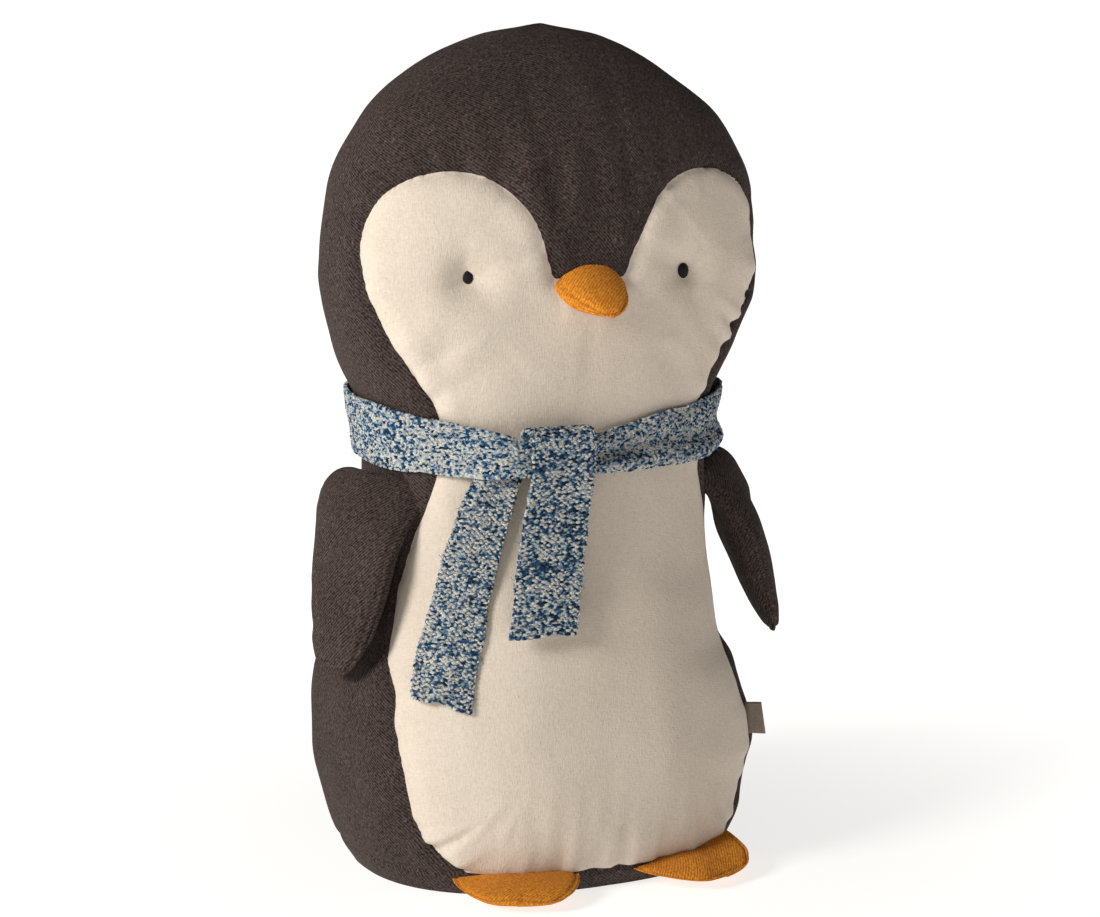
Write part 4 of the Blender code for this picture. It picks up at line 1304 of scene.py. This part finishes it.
def ribbon(name, surface, columns, rows, closed):
    """The strip itself as a thin sheet under the yarn loops, coloured dark with painted shade."""
    across = np.arange(columns) / columns if closed else np.linspace(0.02, 0.98, columns)
    across, along = np.meshgrid(across, np.linspace(0.02, 0.98, rows), indexing="xy")
    grid = surface(across, along)
    made = mesh_object(name, grid.reshape(-1, 3), grid_faces(rows, columns, closed))
    # The sheet's dark colour is painted shade, seen between the loops.
    return wear(thickened(made, STRIP_THICKNESS), SHADE_BACKING)


def hair_tubes(name, lines):
    """Curled hairs as one mesh of closed, round-ended tubes."""
    before, beyond = 2 * lines[:, :1] - lines[:, 1:2], 2 * lines[:, -1:] - lines[:, -2:-1]
    tangent = unit(np.gradient(np.concatenate([before, lines, beyond], 1), axis=1))
    centre = np.concatenate([lines[:, :1], lines, lines[:, -1:]], 1)
    centre[:, 0] -= tangent[:, 0] * FIBRE_RADIUS * 0.6
    centre[:, -1] += tangent[:, -1] * FIBRE_RADIUS * 0.6
    radius = np.full(centre.shape[:2], FIBRE_RADIUS)
    radius[:, [0, -1]] *= 0.35
    side = unit(np.cross(tangent, (0.31, 0.22, 0.93)))
    tube = rings_round(centre, side, np.cross(tangent, side), radius, FIBRE_SIDES)
    faces = []
    around = np.arange(FIBRE_SIDES)
    last = (centre.shape[1] - 1) * FIBRE_SIDES
    for first in np.arange(len(lines)) * (last + FIBRE_SIDES):
        faces.extend(grid_faces(centre.shape[1], FIBRE_SIDES, True)[:, ::-1] + first)
        faces.extend([first + around, first + last + around[::-1]])
    return wear(mesh_object(name, tube.reshape(-1, 3), faces), YARN)


def stray_fibres(name, surface, count, closed, seed):
    """Short curled hairs that stand out of the knitting."""
    number = np.arange(count)
    draws = [lattice(number, np.full_like(number, seed + k)) for k in range(8)]
    across = (draws[0] + 1) / 2
    along = 0.03 + 0.94 * (draws[1] + 1) / 2
    if not closed:
        # Most hairs show at the strip's two edges.
        across = np.where(number % 3 == 0, across, np.where(number % 2 == 0, 0.01, 0.99))
    point, normal = surface_frame(surface, across, along)
    lean, curl = np.stack(draws[2:5], -1), np.stack(draws[5:8], -1)
    start = point + normal * 0.0008
    middle = start + normal * 0.0010 + lean * 0.0014
    end = middle + lean * 0.0011 + curl * 0.0010
    return hair_tubes(name, np.stack([start, middle, end], 1))


def knitted(part, surface, yarn, sheet_grid, stitches, radius, seed, closed=False):
    """One stretch of the scarf: a thin sheet, the looping yarn on it, and stray hairs.

    stitches are the columns of loops across the strip and the rows along it. A closed strip goes
    right round the neck.
    """
    hairs, hair_seed = HAIRS[part]
    sheet = ribbon(f"scarf_{part}_strip", surface, *sheet_grid, closed)
    loops = knit_yarn(f"scarf_{part}_loops", surface, *stitches, radius, closed, seed, yarn)
    fibres = stray_fibres(f"scarf_{part}_fibres", surface, hairs, closed, hair_seed)
    return sheet, loops, fibres


def make_scarf():
    band, loops, hairs = knitted(
        "neck_band", band_centre, YARN, sheet_grid=(180, 9), stitches=(11, 214), radius=0.00088, seed=11,
        closed=True,
    )
    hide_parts("scarf_neck_band")
    for piece in (band, loops, hairs):
        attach(piece, "torso")

    strip, loops, hairs = knitted(
        "front", front_strip, DARKER_YARN, sheet_grid=(12, 60), stitches=(11, 52), radius=0.00090, seed=23
    )
    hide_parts("scarf_knot", "scarf_front_tail")
    for piece in (strip, loops, hairs):
        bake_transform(piece)

    strip, loops, hairs = knitted(
        "side", side_strip, PALER_YARN, sheet_grid=(10, 50), stitches=(9, 50), radius=0.00088, seed=37
    )
    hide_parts("scarf_side_tail")
    for piece in (strip, loops, hairs):
        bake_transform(piece)


# ---------------------------------------------------------------- label
def make_label():
    """A folded tab of tape: one loop whose two ends go into the seam."""
    low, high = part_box("side_label")
    x, height = LABEL_PLACE
    y = front_at(x, height)
    middle = (low + high) / 2
    outward = Vector((middle.x - x, middle.y - y, 0)).normalized()
    sideways = Vector((-outward.y, outward.x, 0))
    reach, half = LABEL_REACH, LABEL_FOLD / 2
    turn = np.linspace(-math.pi / 2, math.pi / 2, 9)
    back = [(-LABEL_HIDDEN, -half)] + [(r, -half) for r in np.linspace(0.0006, reach - half, 6)]
    fold = [(reach - half + half * math.cos(a), half * math.sin(a)) for a in turn[1:-1]]
    front = [(r, half) for r in np.linspace(reach - half, 0.0006, 6)] + [(-LABEL_HIDDEN, half)]
    path = np.array(back + fold + front)
    rows = 14
    points = []
    for row in range(rows):
        up = row / (rows - 1) - 0.5
        bow = 0.0006 * math.sin(3.0 * up)
        for along, through in path:
            leant = along * (1 - 0.35 * up)
            place = Vector((x, y, height)) + outward * leant + sideways * (through + bow * along / reach)
            points.append((place.x, place.y, place.z + up * LABEL_TALL * 0.99))
    label = mesh_object("side_label_tape", points, grid_faces(rows, len(path), False))
    wear(thickened(label, TAPE_THICKNESS), label_tape())
    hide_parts("side_label")
    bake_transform(label)


# ---------------------------------------------------------------- camera, floor and light
def make_camera():
    """The viewing angle of the picture: in front on the penguin's right, a little above its middle."""
    back = Vector((
        math.sin(CAMERA_AZIMUTH) * math.cos(CAMERA_ELEVATION),
        -math.cos(CAMERA_AZIMUTH) * math.cos(CAMERA_ELEVATION),
        math.sin(CAMERA_ELEVATION),
    ))
    data = bpy.data.cameras.new("camera")
    data.sensor_width = CAMERA_SENSOR
    data.lens = CAMERA_LENS
    camera = linked("camera", data)
    turn = back.to_track_quat("Z", "Y").to_matrix().to_4x4()
    roll = Matrix.Rotation(CAMERA_ROLL, 4, "Z")
    place = Vector(CAMERA_AIM) + back * CAMERA_DISTANCE
    camera.matrix_world = Matrix.Translation(place) @ turn @ roll
    bpy.context.scene.camera = camera


def make_floor():
    """A pale floor that glows a little, more so away from the penguin, so that it fades to white. The
    weaker glow near the penguin paints a soft shadow round it.
    """
    corners = [(a * FLOOR_REACH, b * FLOOR_REACH, 0) for a, b in ((-1, -1), (1, -1), (1, 1), (-1, 1))]
    floor = mesh_object("floor", corners, [(0, 1, 2, 3)])
    shader = Shader("floor_white", 0.95)
    soft = shader.grain(3, 2.0)
    colour = shader.ramp(soft, ((0.3, grey(0.36)), (0.7, grey(0.38))))
    away = shader.node("ShaderNodeVectorMath", operation="LENGTH")
    shader.link(shader.place((1, 1, 1), uv=False), away, 0)
    # Less glow near the penguin: a painted shadow pool round it.
    glow_and_painted_shade = eased(shader.tree, away.outputs["Value"], *FLOOR_GLOW_AND_SHADE_POOL)
    shader.main.inputs["Emission Color"].default_value = (1.0, 0.985, 0.965, 1)
    shader.link(glow_and_painted_shade, shader.main, "Emission Strength")
    wear(floor, shader.finish(colour))


def make_key():
    data = bpy.data.lights.new("key", "AREA")
    data.shape = "DISK"
    data.size = KEY_SIZE
    data.energy = KEY_POWER
    data.color = KEY_COLOUR
    light = linked("key", data)
    direction = Vector(KEY_AIM) - Vector(KEY_PLACE)
    turn = direction.to_track_quat("-Z", "Y").to_matrix().to_4x4()
    light.matrix_world = Matrix.Translation(KEY_PLACE) @ turn


def make_light():
    """A white band round the horizon behind a dim sky, and one large soft key from the left."""
    world = bpy.data.worlds.new("studio")
    bpy.context.scene.world = world
    world.use_nodes = True
    tree = world.node_tree
    background = tree.nodes["Background"]
    background.inputs["Color"].default_value = (1.0, 0.99, 0.975, 1.0)
    coords = tree.nodes.new("ShaderNodeTexCoord")
    split = tree.nodes.new("ShaderNodeSeparateXYZ")
    tree.links.new(coords.outputs["Generated"], split.inputs["Vector"])
    level = eased(tree, split.outputs["Z"], *SKY_LEVEL)
    tree.links.new(level, background.inputs["Strength"])
    bpy.context.scene.view_settings.view_transform = "Standard"
    make_key()


make_torso()
make_wings()
make_feet()
make_beak()
make_eyes()
make_scarf()
make_label()
make_camera()
make_floor()
make_light()
